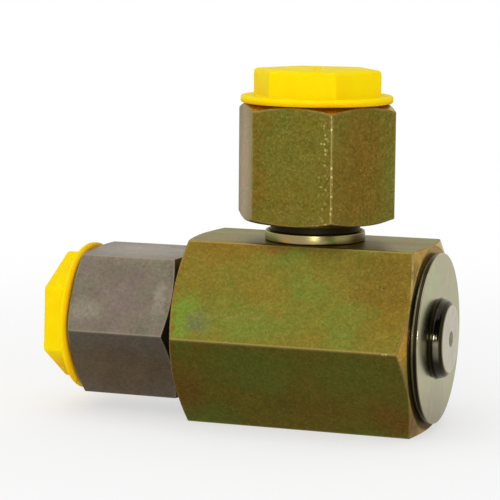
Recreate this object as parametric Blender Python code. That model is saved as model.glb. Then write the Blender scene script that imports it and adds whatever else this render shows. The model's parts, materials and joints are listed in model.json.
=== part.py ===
"""Right-angle swivel fitting for hydraulic lines, its two ports closed by plastic plugs.

Units are metres, +Z is up, and the origin is the middle of the body's lower flat.
The spindle turns in the body about the swivel axis, along X through the body's
middle: its flange is at +X, and its coned nose, with the side nut, at -X. The
port stub stands on the body's upper flat, along Z, and carries the top nut.

Threads are left plain at their core radius. Heights in an outline are measured
along the piece's own Z, which lies on the axis that the piece turns about.
"""

import math

import bmesh
import bpy

# Clearances
SEAT_GAP = 0.0001
RUNNING_CLEARANCE = 0.00006
NUT_PLAY = 0.00008
LAND_CLEARANCE = 0.00015

# Body, a length of hexagon bar
BODY_ACROSS_FLATS = 0.0410
BODY_LENGTH = 0.0540
BODY_FACE_INSET = 0.0003
BODY_CHAMFER_ANGLE = math.radians(21.0)
RECESS_RADIUS = 0.0150
RECESS_LIP = 0.0010
CHAMBER_LENGTH = 0.0120
PORT_FLOOR = 0.0013
PORT_THREAD_RADIUS = 0.0090
PORT_HOLE_RADIUS = 0.0050

# Spindle
JOURNAL_RADIUS = 0.0100
FLOW_RADIUS = 0.0060
FLOW_DEPTH_PAST_HOLES = 0.0010
DRILL_POINT_ANGLE = math.radians(59.0)
CROSS_HOLE_RADIUS = 0.0031
FLANGE_RADIUS = 0.01885
FLANGE_THICKNESS = 0.0012
FLANGE_EDGE = 0.0002
BOSS_RADIUS = 0.0088
BOSS_HEIGHT = 0.0027
BOSS_CHAMFER_WIDTH = 0.0015
BOSS_CHAMFER_HEIGHT = 0.0011
CENTRE_MOUTH_RADIUS = 0.00175
CENTRE_HOLE_RADIUS = 0.0008
CENTRE_HOLE_DEPTH = 0.0040
CENTRE_CONE_ANGLE = math.radians(30.0)

# Bearings, seals and rings round the journal
BUSH_LENGTH = 0.0075
BUSH_WALL = 0.0015
SEAL_LAND = 0.0020
SEAL_SECTION = 0.0021
BACKUP_RING_WIDTH = 0.0012
DUST_SEAL_WIDTH = 0.0026
DUST_SEAL_SECTION = 0.0036
THRUST_WASHER_RADIUS = 0.0180
THRUST_WASHER_THICKNESS = 0.0005
INNER_WASHER_RADIUS = 0.0142
INNER_WASHER_THICKNESS = 0.0010
RETAINING_RING_THICKNESS = 0.0012
RETAINING_RING_WIDTH = 0.0023
RETAINING_RING_DEPTH = 0.0005
RETAINING_RING_OPENING = math.radians(26.0)
RING_LUG_ARC = math.radians(20.0)
RING_LUG_HEIGHT = 0.0013
RING_LUG_HOLE_RADIUS = 0.0008

# Coned nose, the same on the spindle and on the port stub
NOSE_REACH = 0.0196
CONE_LENGTH = 0.0080
CONE_ANGLE = math.radians(12.0)
CONE_RING_PLACE = 0.0028
CONE_RING_SECTION = 0.0018
CONE_RING_GROOVE_DEPTH = 0.00135
NOSE_EDGE = 0.0004

# Port stub
COLLAR_RADIUS = 0.0112
COLLAR_HEIGHT = 0.0019
COLLAR_EDGE = 0.0002
STUB_NECK = 0.0026
STUB_RELIEF = 0.0008
STUB_RING_SECTION = 0.0018
SPIGOT_END_GAP = 0.0004
SPIGOT_EDGE = 0.0005

# Swivel nuts
NUT_ACROSS_FLATS = 0.0320
NUT_FACE_INSET = 0.0004
NUT_BACK_ANGLE = math.radians(21.5)
NUT_MOUTH_ANGLE = math.radians(27.0)
SIDE_NUT_MOUTH_ANGLE = math.radians(21.5)
NUT_BACK_WALL = 0.0096
NUT_THREAD_RADIUS = 0.0122
NUT_MOUTH_CHAMFER = 0.0008
TOP_NUT_LENGTH = 0.0260
SIDE_NUT_LENGTH = 0.0246
SIDE_NUT_STANDOFF = 0.0016
WIRE_SECTION = 0.0020

# Plastic plugs
PLUG_FLANGE_RADIUS = 0.0169
PLUG_FLANGE_THICKNESS = 0.00165
PLUG_FLANGE_ROUND = 0.0005
PLUG_FLANGE_ROUND_STEPS = 2
PLUG_HEAD_ACROSS_FLATS = 0.0255
PLUG_HEAD_HEIGHT = 0.00575
PLUG_HEAD_ROUND = 0.0005
PLUG_TOP_WALL = 0.0018
PLUG_SHANK_LENGTH = 0.0070
PLUG_SHANK_WALL = 0.0018
PLUG_SHANK_EDGE = 0.0005
GATE_RADIUS = 0.0009
GATE_HEIGHT = 0.0003

# How far each hexagon stands turned on its axis, as the fitting lies
TOP_NUT_TURN = math.radians(-2.2)
SIDE_NUT_TURN = math.radians(-1.9)
TOP_PLUG_TURN = math.radians(2.5)
SIDE_PLUG_TURN = math.radians(33.0)

# Angles of a hexagon
QUARTER_TURN = math.pi / 2.0
SIXTH_TURN = math.pi / 3.0
TWELFTH_TURN = math.pi / 6.0

# Facets
ROUND_SEGMENTS = 36
RING_SEGMENTS = 28
SECTION_SEGMENTS = 6
HOLE_SEGMENTS = 12
RING_LUG_STEPS = 3
MERGE_DISTANCE = 0.000001
CUT_MARGIN = 0.002
SHARP_ANGLE = math.radians(25.0)

# Radii and places that follow from the sizes above
HALF_LENGTH = BODY_LENGTH / 2.0
BUSH_INNER_RADIUS = JOURNAL_RADIUS + RUNNING_CLEARANCE
BUSH_OUTER_RADIUS = BUSH_INNER_RADIUS + BUSH_WALL
SEAL_INNER_RADIUS = JOURNAL_RADIUS + SEAT_GAP
SEAL_GROOVE_RADIUS = SEAL_INNER_RADIUS + SEAL_SECTION + SEAT_GAP
SEAL_GROOVE_WIDTH = SEAL_SECTION + BACKUP_RING_WIDTH + 3.0 * SEAT_GAP
DUST_RECESS_DEPTH = DUST_SEAL_WIDTH + 2.0 * SEAT_GAP
DUST_RECESS_RADIUS = JOURNAL_RADIUS + DUST_SEAL_SECTION + 2.0 * SEAT_GAP
RING_RECESS_DEPTH = INNER_WASHER_THICKNESS + RETAINING_RING_THICKNESS + 3.0 * SEAT_GAP + RECESS_LIP
PORT_DEPTH = BODY_ACROSS_FLATS / 2.0 - SEAL_GROOVE_RADIUS - PORT_FLOOR
STUB_RELIEF_RADIUS = PORT_THREAD_RADIUS - STUB_RELIEF
STUB_RING_DEPTH = STUB_RING_SECTION + SEAT_GAP
STUB_RING_RECESS_RADIUS = STUB_RELIEF_RADIUS + STUB_RING_SECTION + 2.0 * SEAT_GAP
WIRE_RADIUS = JOURNAL_RADIUS + NUT_PLAY / 2.0
WIRE_PLACE = NUT_BACK_WALL / 2.0
WIRE_GROOVE_REACH = WIRE_SECTION / 2.0 + SEAT_GAP
SIDE_NUT_PLACE = HALF_LENGTH + SIDE_NUT_STANDOFF
TOP_NUT_PLACE = COLLAR_HEIGHT + STUB_NECK


def clear_scene():
    """Remove whatever the open file holds."""
    for thing in list(bpy.data.objects):
        bpy.data.objects.remove(thing, do_unlink=True)


def finish(name, colour, roughness, metallic):
    """A plain material with the piece's colour, roughness and metallic value."""
    material = bpy.data.materials.new(name)
    material.use_nodes = True
    shader = material.node_tree.nodes["Principled BSDF"]
    shader.inputs["Base Color"].default_value = (*colour, 1.0)
    shader.inputs["Roughness"].default_value = roughness
    shader.inputs["Metallic"].default_value = metallic
    material.diffuse_color = (*colour, 1.0)
    return material


def axis_empty(name, height, tilt):
    """An empty whose local Z is the axis that its pieces turn about."""
    empty = bpy.data.objects.new(name, None)
    empty.location = (0.0, 0.0, height)
    empty.rotation_euler = (0.0, tilt, 0.0)
    bpy.context.collection.objects.link(empty)
    return empty


def place(name, shape, axis, height, material):
    """Turn a bmesh into an object that stands at a height on an axis."""
    bmesh.ops.remove_doubles(shape, verts=shape.verts, dist=MERGE_DISTANCE)
    bmesh.ops.recalc_face_normals(shape, faces=shape.faces)
    mesh = bpy.data.meshes.new(name)
    shape.to_mesh(mesh)
    shape.free()
    mesh.shade_smooth()
    mesh.set_sharp_from_angle(angle=SHARP_ANGLE)
    mesh.materials.append(material)
    piece = bpy.data.objects.new(name, mesh)
    piece.parent = axis
    piece.location = (0.0, 0.0, height)
    bpy.context.collection.objects.link(piece)
    return piece


def turned(name, outline, axis, height, material, segments=ROUND_SEGMENTS):
    """A turned piece: an outline of (radius, height) points carried round local Z."""
    shape = bmesh.new()
    corners = [shape.verts.new((radius, 0.0, rise)) for radius, rise in outline]
    edges = []
    for start, end in zip(corners, corners[1:] + corners[:1]):
        on_axis = start.co.x == 0.0 and end.co.x == 0.0
        if not on_axis:
            edges.append(shape.edges.new((start, end)))
    bmesh.ops.spin(
        shape,
        geom=corners + edges,
        cent=(0.0, 0.0, 0.0),
        axis=(0.0, 0.0, 1.0),
        angle=2.0 * math.pi,
        steps=segments,
        use_merge=True,
    )
    bmesh.ops.remove_doubles(shape, verts=shape.verts, dist=MERGE_DISTANCE)
    flat_ends = [vertex for vertex in shape.verts if is_flat_centre(vertex)]
    bmesh.ops.dissolve_verts(shape, verts=flat_ends)
    return place(name, shape, axis, height, material)


def is_flat_centre(vertex):
    """Whether a point on the axis is the middle of a flat end."""
    heights = [corner.co.z for face in vertex.link_faces for corner in face.verts]
    on_axis = math.hypot(vertex.co.x, vertex.co.y) < MERGE_DISTANCE
    return on_axis and max(heights) - min(heights) < MERGE_DISTANCE


def disc_outline(radius, low, high):
    """Half the section of a plain round bar."""
    return [(0.0, low), (radius, low), (radius, high), (0.0, high)]


def ring_outline(inner, outer, low, high):
    """The section of a plain flat or tubular ring."""
    return [(inner, low), (outer, low), (outer, high), (inner, high)]


def round_ring(name, centre_radius, section, axis, height, material):
    """A ring of round section, such as an O-ring or a wire."""
    outline = []
    for step in range(SECTION_SEGMENTS):
        angle = 2.0 * math.pi * step / SECTION_SEGMENTS
        radius = centre_radius + section / 2.0 * math.cos(angle)
        outline.append((radius, section / 2.0 * math.sin(angle)))
    return turned(name, outline, axis, height, material, RING_SEGMENTS)


def extruded(name, corners, low, high, axis, height, material):
    """A flat outline of (x, y) corners, extruded along local Z."""
    shape = bmesh.new()
    base = shape.faces.new([shape.verts.new((x, y, low)) for x, y in corners])
    raised = bmesh.ops.extrude_face_region(shape, geom=[base])
    moved = [item for item in raised["geom"] if isinstance(item, bmesh.types.BMVert)]
    bmesh.ops.translate(shape, verts=moved, vec=(0.0, 0.0, high - low))
    return place(name, shape, axis, height, material)


def hexagon(across_flats, turn):
    """The corners of a hexagon, the first one on +Y before it is turned."""
    corner_radius = across_flats / 2.0 / math.cos(TWELFTH_TURN)
    angles = [QUARTER_TURN + SIXTH_TURN * step + turn for step in range(6)]
    return [(corner_radius * math.cos(angle), corner_radius * math.sin(angle)) for angle in angles]


def combine(target, other, operation):
    """Cut, join or trim a piece with another, which stays out of the model itself."""
    other.hide_render = True
    other.display_type = "WIRE"
    step = target.modifiers.new(other.name, "BOOLEAN")
    step.operation = operation
    step.object = other


def chamfered_hexagon(name, across_flats, inset, length, angles, turn, axis, height, material):
    """Hexagon bar cut to length, its ends turned to a circle and a shallow cone."""
    corners = hexagon(across_flats, turn)
    bar = extruded(name, corners, -CUT_MARGIN, length + CUT_MARGIN, axis, height, material)
    face_radius = across_flats / 2.0 - inset
    wide_radius = across_flats / 2.0 / math.cos(TWELFTH_TURN) + CUT_MARGIN
    low_rise = (wide_radius - face_radius) * math.tan(angles[0])
    high_rise = (wide_radius - face_radius) * math.tan(angles[1])
    outline = [
        (0.0, 0.0),
        (face_radius, 0.0),
        (wide_radius, low_rise),
        (wide_radius, length - high_rise),
        (face_radius, length),
        (0.0, length),
    ]
    trim = turned(name + "_ends", outline, axis, height, material)
    combine(bar, trim, "INTERSECT")
    return bar


def bore_out(piece, label, radius, low, high, axis, height, material):
    """Cut a round hole in a piece, coaxial with the given axis."""
    tool = turned(piece.name + "_" + label, disc_outline(radius, low, high), axis, height, material)
    combine(piece, tool, "DIFFERENCE")


def seal_side(sign):
    """Where one end's bush, groove and recess lie along the swivel axis, outwards from the middle."""
    recess_depth = RING_RECESS_DEPTH if sign > 0 else DUST_RECESS_DEPTH
    recess_floor = HALF_LENGTH - recess_depth
    bush_floor = recess_floor - BUSH_LENGTH - 2.0 * SEAT_GAP
    groove_outer = bush_floor - SEAL_LAND
    groove_inner = groove_outer - SEAL_GROOVE_WIDTH
    return recess_floor, bush_floor, groove_outer, groove_inner


def low_end(sign, inner, outer):
    """The low end, on the swivel axis, of a stretch that one end's piece fills."""
    return min(sign * inner, sign * outer)


def body_bore_side(sign, recess_radius):
    """Half of the stepped bore's outline, from the chamber out past one end."""
    recess_floor, bush_floor, groove_outer, groove_inner = seal_side(sign)
    land_bore = JOURNAL_RADIUS + LAND_CLEARANCE
    bush_seat = BUSH_OUTER_RADIUS + RUNNING_CLEARANCE
    half_chamber = CHAMBER_LENGTH / 2.0
    past = HALF_LENGTH + CUT_MARGIN
    steps = [
        (SEAL_GROOVE_RADIUS, half_chamber),
        (land_bore, half_chamber),
        (land_bore, groove_inner),
        (SEAL_GROOVE_RADIUS, groove_inner),
        (SEAL_GROOVE_RADIUS, groove_outer),
        (land_bore, groove_outer),
        (land_bore, bush_floor),
        (bush_seat, bush_floor),
        (bush_seat, recess_floor),
        (recess_radius, recess_floor),
        (recess_radius, past),
        (0.0, past),
    ]
    return [(radius, sign * place_along) for radius, place_along in steps]


def make_body(swivel, port, steel):
    """The hexagon body with its stepped bore, annular chamber and threaded port."""
    body = chamfered_hexagon(
        "body",
        BODY_ACROSS_FLATS,
        BODY_FACE_INSET,
        BODY_LENGTH,
        (BODY_CHAMFER_ANGLE, BODY_CHAMFER_ANGLE),
        0.0,
        swivel,
        -HALF_LENGTH,
        steel,
    )
    flange_half = body_bore_side(-1, DUST_RECESS_RADIUS)
    bore = flange_half[::-1] + body_bore_side(1, RECESS_RADIUS)
    combine(body, turned("body_bore", bore, swivel, 0.0, steel), "DIFFERENCE")
    half_height = BODY_ACROSS_FLATS / 2.0
    port_steps = [
        (0.0, -half_height),
        (PORT_HOLE_RADIUS, -half_height),
        (PORT_HOLE_RADIUS, -PORT_DEPTH),
        (PORT_THREAD_RADIUS, -PORT_DEPTH),
        (PORT_THREAD_RADIUS, -STUB_RING_DEPTH),
        (STUB_RING_RECESS_RADIUS, -STUB_RING_DEPTH),
        (STUB_RING_RECESS_RADIUS, CUT_MARGIN),
        (0.0, CUT_MARGIN),
    ]
    combine(body, turned("body_port", port_steps, port, 0.0, steel), "DIFFERENCE")


def cone_radius(distance):
    """Radius of the coned nose at a distance from where its cone starts."""
    return JOURNAL_RADIUS - distance * math.tan(CONE_ANGLE)


def nose_outline(nut_back):
    """Outer side of a nose: the wire's groove, then the cone with its ring groove, then the tip."""
    wire = nut_back + WIRE_PLACE
    wire_floor = WIRE_RADIUS - WIRE_GROOVE_REACH
    tip = nut_back + NOSE_REACH
    cone = tip - CONE_LENGTH
    ring_reach = CONE_RING_SECTION / 2.0 + SEAT_GAP
    ring_floor = cone_radius(CONE_RING_PLACE) - CONE_RING_GROOVE_DEPTH
    near = CONE_RING_PLACE - ring_reach
    far = CONE_RING_PLACE + ring_reach
    return [
        (JOURNAL_RADIUS, wire - WIRE_GROOVE_REACH),
        (wire_floor, wire - WIRE_GROOVE_REACH),
        (wire_floor, wire + WIRE_GROOVE_REACH),
        (JOURNAL_RADIUS, wire + WIRE_GROOVE_REACH),
        (JOURNAL_RADIUS, cone),
        (cone_radius(near), cone + near),
        (ring_floor, cone + near),
        (ring_floor, cone + far),
        (cone_radius(far), cone + far),
        (cone_radius(CONE_LENGTH - NOSE_EDGE), tip - NOSE_EDGE),
        (cone_radius(CONE_LENGTH) - NOSE_EDGE, tip),
        (FLOW_RADIUS + NOSE_EDGE, tip),
        (FLOW_RADIUS, tip - NOSE_EDGE),
    ]


def cone_ring(name, nut_back, axis, rubber):
    """The O-ring that stands proud of a nose's cone."""
    cone = nut_back + NOSE_REACH - CONE_LENGTH
    floor = cone_radius(CONE_RING_PLACE) - CONE_RING_GROOVE_DEPTH
    centre = floor + SEAT_GAP + CONE_RING_SECTION / 2.0
    round_ring(name, centre, CONE_RING_SECTION, axis, cone + CONE_RING_PLACE, rubber)


def centre_hole_outline(face):
    """The centre drilling in the boss, from its coned mouth to its point on the axis."""
    cone_depth = (CENTRE_MOUTH_RADIUS - CENTRE_HOLE_RADIUS) / math.tan(CENTRE_CONE_ANGLE)
    point = CENTRE_HOLE_RADIUS / math.tan(DRILL_POINT_ANGLE)
    return [
        (0.0, face + CENTRE_HOLE_DEPTH + point),
        (CENTRE_HOLE_RADIUS, face + CENTRE_HOLE_DEPTH),
        (CENTRE_HOLE_RADIUS, face + cone_depth),
        (CENTRE_MOUTH_RADIUS, face),
    ]


def make_spindle(swivel, steel):
    """One turned piece: boss, flange, journal and nose, bored from the nose and cross-drilled."""
    flange_back = -(HALF_LENGTH + THRUST_WASHER_THICKNESS + 2.0 * SEAT_GAP)
    flange_face = flange_back - FLANGE_THICKNESS
    boss_face = flange_face - BOSS_HEIGHT
    ring_place = retaining_ring_place()
    ring_floor = JOURNAL_RADIUS - RETAINING_RING_DEPTH
    ring_end = ring_place + RETAINING_RING_THICKNESS + SEAT_GAP
    flow_end = -(CROSS_HOLE_RADIUS + FLOW_DEPTH_PAST_HOLES)
    outline = centre_hole_outline(boss_face)
    outline += [
        (BOSS_RADIUS - BOSS_CHAMFER_WIDTH, boss_face),
        (BOSS_RADIUS, boss_face + BOSS_CHAMFER_HEIGHT),
        (BOSS_RADIUS, flange_face),
        (FLANGE_RADIUS - FLANGE_EDGE, flange_face),
        (FLANGE_RADIUS, flange_face + FLANGE_EDGE),
        (FLANGE_RADIUS, flange_back),
        (JOURNAL_RADIUS, flange_back),
        (JOURNAL_RADIUS, ring_place - SEAT_GAP),
        (ring_floor, ring_place - SEAT_GAP),
        (ring_floor, ring_end),
        (JOURNAL_RADIUS, ring_end),
    ]
    outline += nose_outline(SIDE_NUT_PLACE)
    outline += [
        (FLOW_RADIUS, flow_end),
        (0.0, flow_end - FLOW_RADIUS / math.tan(DRILL_POINT_ANGLE)),
    ]
    spindle = turned("spindle", outline, swivel, 0.0, steel)
    reach = JOURNAL_RADIUS + CUT_MARGIN
    for label, tilt in (("y", (math.pi / 2.0, 0.0, 0.0)), ("z", (0.0, math.pi / 2.0, 0.0))):
        hole = disc_outline(CROSS_HOLE_RADIUS, -reach, reach)
        drill = turned("spindle_cross_drill_" + label, hole, swivel, 0.0, steel, HOLE_SEGMENTS)
        drill.rotation_euler = tilt
        combine(spindle, drill, "DIFFERENCE")


def retaining_ring_place():
    """Where the retaining ring's inner side lies on the swivel axis."""
    recess_floor = seal_side(1)[0]
    return recess_floor + INNER_WASHER_THICKNESS + 2.0 * SEAT_GAP


def retaining_ring_corners(inner, outer):
    """An open ring with a lug at each end, its opening on +X."""
    start = RETAINING_RING_OPENING / 2.0
    lug = start + RING_LUG_ARC
    steps = RING_SEGMENTS
    corners = []
    for step in range(RING_LUG_STEPS + 1):
        angle = start + RING_LUG_ARC * step / RING_LUG_STEPS
        corners.append((outer + RING_LUG_HEIGHT, angle))
    for step in range(steps + 1):
        angle = lug + (2.0 * math.pi - 2.0 * lug) * step / steps
        corners.append((outer, angle))
    for step in range(RING_LUG_STEPS + 1):
        angle = 2.0 * math.pi - lug + RING_LUG_ARC * step / RING_LUG_STEPS
        corners.append((outer + RING_LUG_HEIGHT, angle))
    for step in range(steps + 1):
        angle = 2.0 * math.pi - start - (2.0 * math.pi - 2.0 * start) * step / steps
        corners.append((inner, angle))
    return [(radius * math.cos(angle), radius * math.sin(angle)) for radius, angle in corners]


def make_retaining_ring(swivel, steel):
    """The open ring that keeps the spindle from being drawn out of the body."""
    inner = JOURNAL_RADIUS - RETAINING_RING_DEPTH + SEAT_GAP
    outer = inner + RETAINING_RING_WIDTH
    corners = retaining_ring_corners(inner, outer)
    height = retaining_ring_place()
    ring = extruded("retaining_ring", corners, 0.0, RETAINING_RING_THICKNESS, swivel, height, steel)
    lug_radius = (inner + outer + RING_LUG_HEIGHT) / 2.0
    lug_angle = RETAINING_RING_OPENING / 2.0 + RING_LUG_ARC / 2.0
    for label, angle in (("a", lug_angle), ("b", -lug_angle)):
        hole = disc_outline(RING_LUG_HOLE_RADIUS, -CUT_MARGIN, RETAINING_RING_THICKNESS + CUT_MARGIN)
        drill = turned("retaining_ring_hole_" + label, hole, swivel, height, steel, HOLE_SEGMENTS)
        drill.location.x = lug_radius * math.cos(angle)
        drill.location.y = lug_radius * math.sin(angle)
        combine(ring, drill, "DIFFERENCE")


def make_journal_rings(swivel, finishes):
    """The bush, backup ring and seal at each end of the journal."""
    for sign, side in ((1, "nose"), (-1, "flange")):
        recess_floor, _, groove_outer, groove_inner = seal_side(sign)
        bush_outer = recess_floor - SEAT_GAP
        low = low_end(sign, bush_outer - BUSH_LENGTH, bush_outer)
        bush = ring_outline(BUSH_INNER_RADIUS, BUSH_OUTER_RADIUS, 0.0, BUSH_LENGTH)
        turned(side + "_bush", bush, swivel, low, finishes["bronze"])
        backup_outer = groove_outer - SEAT_GAP
        low = low_end(sign, backup_outer - BACKUP_RING_WIDTH, backup_outer)
        backup_radius = SEAL_INNER_RADIUS + SEAL_SECTION
        backup = ring_outline(SEAL_INNER_RADIUS, backup_radius, 0.0, BACKUP_RING_WIDTH)
        turned(side + "_backup_ring", backup, swivel, low, finishes["white_plastic"])
        centre = groove_inner + SEAT_GAP + SEAL_SECTION / 2.0
        radius = SEAL_INNER_RADIUS + SEAL_SECTION / 2.0
        rubber = finishes["rubber"]
        round_ring(side + "_seal", radius, SEAL_SECTION, swivel, sign * centre, rubber)


def make_dust_seal(swivel, rubber):
    """The wiper under the flange: a square ring with a vee in its outer side that leaves a lip."""
    inner = JOURNAL_RADIUS + SEAT_GAP
    outer = inner + DUST_SEAL_SECTION
    width = DUST_SEAL_WIDTH
    rim = DUST_SEAL_SECTION / 4.0
    outline = [
        (inner, 0.0),
        (inner + rim, 0.0),
        ((inner + outer) / 2.0, width / 2.0),
        (outer - rim, 0.0),
        (outer, 0.0),
        (outer, width),
        (inner, width),
    ]
    turned("dust_seal", outline, swivel, -(HALF_LENGTH - SEAT_GAP), rubber)


def make_washers(swivel, steel):
    """The thrust washer under the flange and the one behind the retaining ring."""
    inner = JOURNAL_RADIUS + LAND_CLEARANCE
    low = -(HALF_LENGTH + SEAT_GAP + THRUST_WASHER_THICKNESS)
    outer_washer = ring_outline(inner, THRUST_WASHER_RADIUS, 0.0, THRUST_WASHER_THICKNESS)
    turned("thrust_washer", outer_washer, swivel, low, steel)
    inner_washer = ring_outline(inner, INNER_WASHER_RADIUS, 0.0, INNER_WASHER_THICKNESS)
    turned("inner_thrust_washer", inner_washer, swivel, seal_side(1)[0] + SEAT_GAP, steel)


def make_port_stub(port, steel):
    """The stub screwed into the body's port: spigot, collar, neck and coned nose."""
    bottom = -(PORT_DEPTH - SPIGOT_END_GAP)
    thread = PORT_THREAD_RADIUS - RUNNING_CLEARANCE
    relief = STUB_RING_DEPTH + SEAT_GAP
    outline = [
        (FLOW_RADIUS, bottom),
        (thread - SPIGOT_EDGE, bottom),
        (thread, bottom + SPIGOT_EDGE),
        (thread, -relief),
        (STUB_RELIEF_RADIUS, -relief),
        (STUB_RELIEF_RADIUS, SEAT_GAP),
        (COLLAR_RADIUS - COLLAR_EDGE, SEAT_GAP),
        (COLLAR_RADIUS, SEAT_GAP + COLLAR_EDGE),
        (COLLAR_RADIUS, COLLAR_HEIGHT - COLLAR_EDGE),
        (COLLAR_RADIUS - COLLAR_EDGE, COLLAR_HEIGHT),
        (JOURNAL_RADIUS, COLLAR_HEIGHT),
    ]
    outline += nose_outline(TOP_NUT_PLACE)
    turned("port_stub", outline, port, 0.0, steel)


def make_port_stub_ring(port, rubber):
    """The O-ring under the stub's collar."""
    centre_radius = STUB_RELIEF_RADIUS + SEAT_GAP + STUB_RING_SECTION / 2.0
    height = -(STUB_RING_SECTION + SEAT_GAP) / 2.0
    round_ring("port_stub_o_ring", centre_radius, STUB_RING_SECTION, port, height, rubber)


def make_nut(name, length, mouth_angle, turn, axis, height, steel):
    """A swivel nut: a plain hole with the wire's groove in its back wall, and a threaded mouth."""
    angles = (NUT_BACK_ANGLE, mouth_angle)
    nut = chamfered_hexagon(
        name, NUT_ACROSS_FLATS, NUT_FACE_INSET, length, angles, turn, axis, height, steel
    )
    back_hole = JOURNAL_RADIUS + NUT_PLAY
    wire_floor = WIRE_RADIUS + WIRE_GROOVE_REACH
    shoulder = NUT_THREAD_RADIUS - back_hole
    past = length + CUT_MARGIN
    outline = [
        (0.0, -CUT_MARGIN),
        (back_hole, -CUT_MARGIN),
        (back_hole, WIRE_PLACE - WIRE_GROOVE_REACH),
        (wire_floor, WIRE_PLACE - WIRE_GROOVE_REACH),
        (wire_floor, WIRE_PLACE + WIRE_GROOVE_REACH),
        (back_hole, WIRE_PLACE + WIRE_GROOVE_REACH),
        (back_hole, NUT_BACK_WALL - shoulder),
        (NUT_THREAD_RADIUS, NUT_BACK_WALL),
        (NUT_THREAD_RADIUS, length - NUT_MOUTH_CHAMFER),
        (NUT_THREAD_RADIUS + NUT_MOUTH_CHAMFER + CUT_MARGIN, past),
        (0.0, past),
    ]
    tool = turned(name + "_bore", outline, axis, height, steel)
    combine(nut, tool, "DIFFERENCE")
    round_ring(name + "_wire", WIRE_RADIUS, WIRE_SECTION, axis, height + WIRE_PLACE, steel)


def plug_blank_outline():
    """The plug's solid shank and round flange, half in section."""
    shank = NUT_THREAD_RADIUS - RUNNING_CLEARANCE
    outline = [
        (0.0, -PLUG_SHANK_LENGTH),
        (shank - PLUG_SHANK_EDGE, -PLUG_SHANK_LENGTH),
        (shank, PLUG_SHANK_EDGE - PLUG_SHANK_LENGTH),
        (shank, 0.0),
    ]
    centre_radius = PLUG_FLANGE_RADIUS - PLUG_FLANGE_ROUND
    upper_centre = PLUG_FLANGE_THICKNESS - PLUG_FLANGE_ROUND
    for centre, start in ((PLUG_FLANGE_ROUND, -QUARTER_TURN), (upper_centre, 0.0)):
        for step in range(PLUG_FLANGE_ROUND_STEPS + 1):
            angle = start + QUARTER_TURN * step / PLUG_FLANGE_ROUND_STEPS
            radius = centre_radius + PLUG_FLANGE_ROUND * math.cos(angle)
            outline.append((radius, centre + PLUG_FLANGE_ROUND * math.sin(angle)))
    outline.append((0.0, PLUG_FLANGE_THICKNESS))
    return outline


def round_off(piece, radius):
    """Round the upright corners and the outer rim of an extruded hexagon."""
    mesh = piece.data
    shape = bmesh.new()
    shape.from_mesh(mesh)
    bottom = min(vertex.co.z for vertex in shape.verts)
    edges = []
    for edge in shape.edges:
        if max(vertex.co.z for vertex in edge.verts) > bottom:
            edges.append(edge)
    bmesh.ops.bevel(shape, geom=edges, offset=radius, segments=2, profile=0.5, affect="EDGES")
    shape.to_mesh(mesh)
    shape.free()


def make_plug(name, turn, axis, height, plastic):
    """A moulded plug: hollow shank, round flange and closed hexagon head with a gate mark."""
    plug = turned(name, plug_blank_outline(), axis, height, plastic)
    head_top = PLUG_FLANGE_THICKNESS + PLUG_HEAD_HEIGHT
    head_root = PLUG_FLANGE_THICKNESS - PLUG_FLANGE_ROUND
    corners = hexagon(PLUG_HEAD_ACROSS_FLATS, turn)
    head = extruded(name + "_head", corners, head_root, head_top, axis, height, plastic)
    round_off(head, PLUG_HEAD_ROUND)
    combine(plug, head, "UNION")
    gate = [
        (0.0, head_top - PLUG_HEAD_ROUND),
        (GATE_RADIUS, head_top - PLUG_HEAD_ROUND),
        (GATE_RADIUS, head_top + GATE_HEIGHT),
        (0.0, head_top + GATE_HEIGHT),
    ]
    combine(plug, turned(name + "_gate", gate, axis, height, plastic, HOLE_SEGMENTS), "UNION")
    hollow_radius = NUT_THREAD_RADIUS - RUNNING_CLEARANCE - PLUG_SHANK_WALL
    low = -(PLUG_SHANK_LENGTH + CUT_MARGIN)
    bore_out(plug, "hollow", hollow_radius, low, head_top - PLUG_TOP_WALL, axis, height, plastic)


def make_finishes():
    """The materials, by the name of the stuff."""
    return {
        "yellow_zinc": finish("yellow_zinc", (0.42, 0.34, 0.13), 0.38, 0.9),
        "plain_zinc": finish("plain_zinc", (0.45, 0.42, 0.38), 0.38, 0.9),
        "turned_steel": finish("turned_steel", (0.58, 0.55, 0.48), 0.3, 0.95),
        "spring_steel": finish("spring_steel", (0.22, 0.21, 0.20), 0.35, 0.9),
        "bronze": finish("bronze", (0.52, 0.33, 0.14), 0.4, 0.9),
        "rubber": finish("rubber", (0.02, 0.02, 0.02), 0.7, 0.0),
        "white_plastic": finish("white_plastic", (0.82, 0.81, 0.76), 0.5, 0.0),
        "yellow_plastic": finish("yellow_plastic", (0.95, 0.72, 0.02), 0.4, 0.0),
    }


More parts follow.
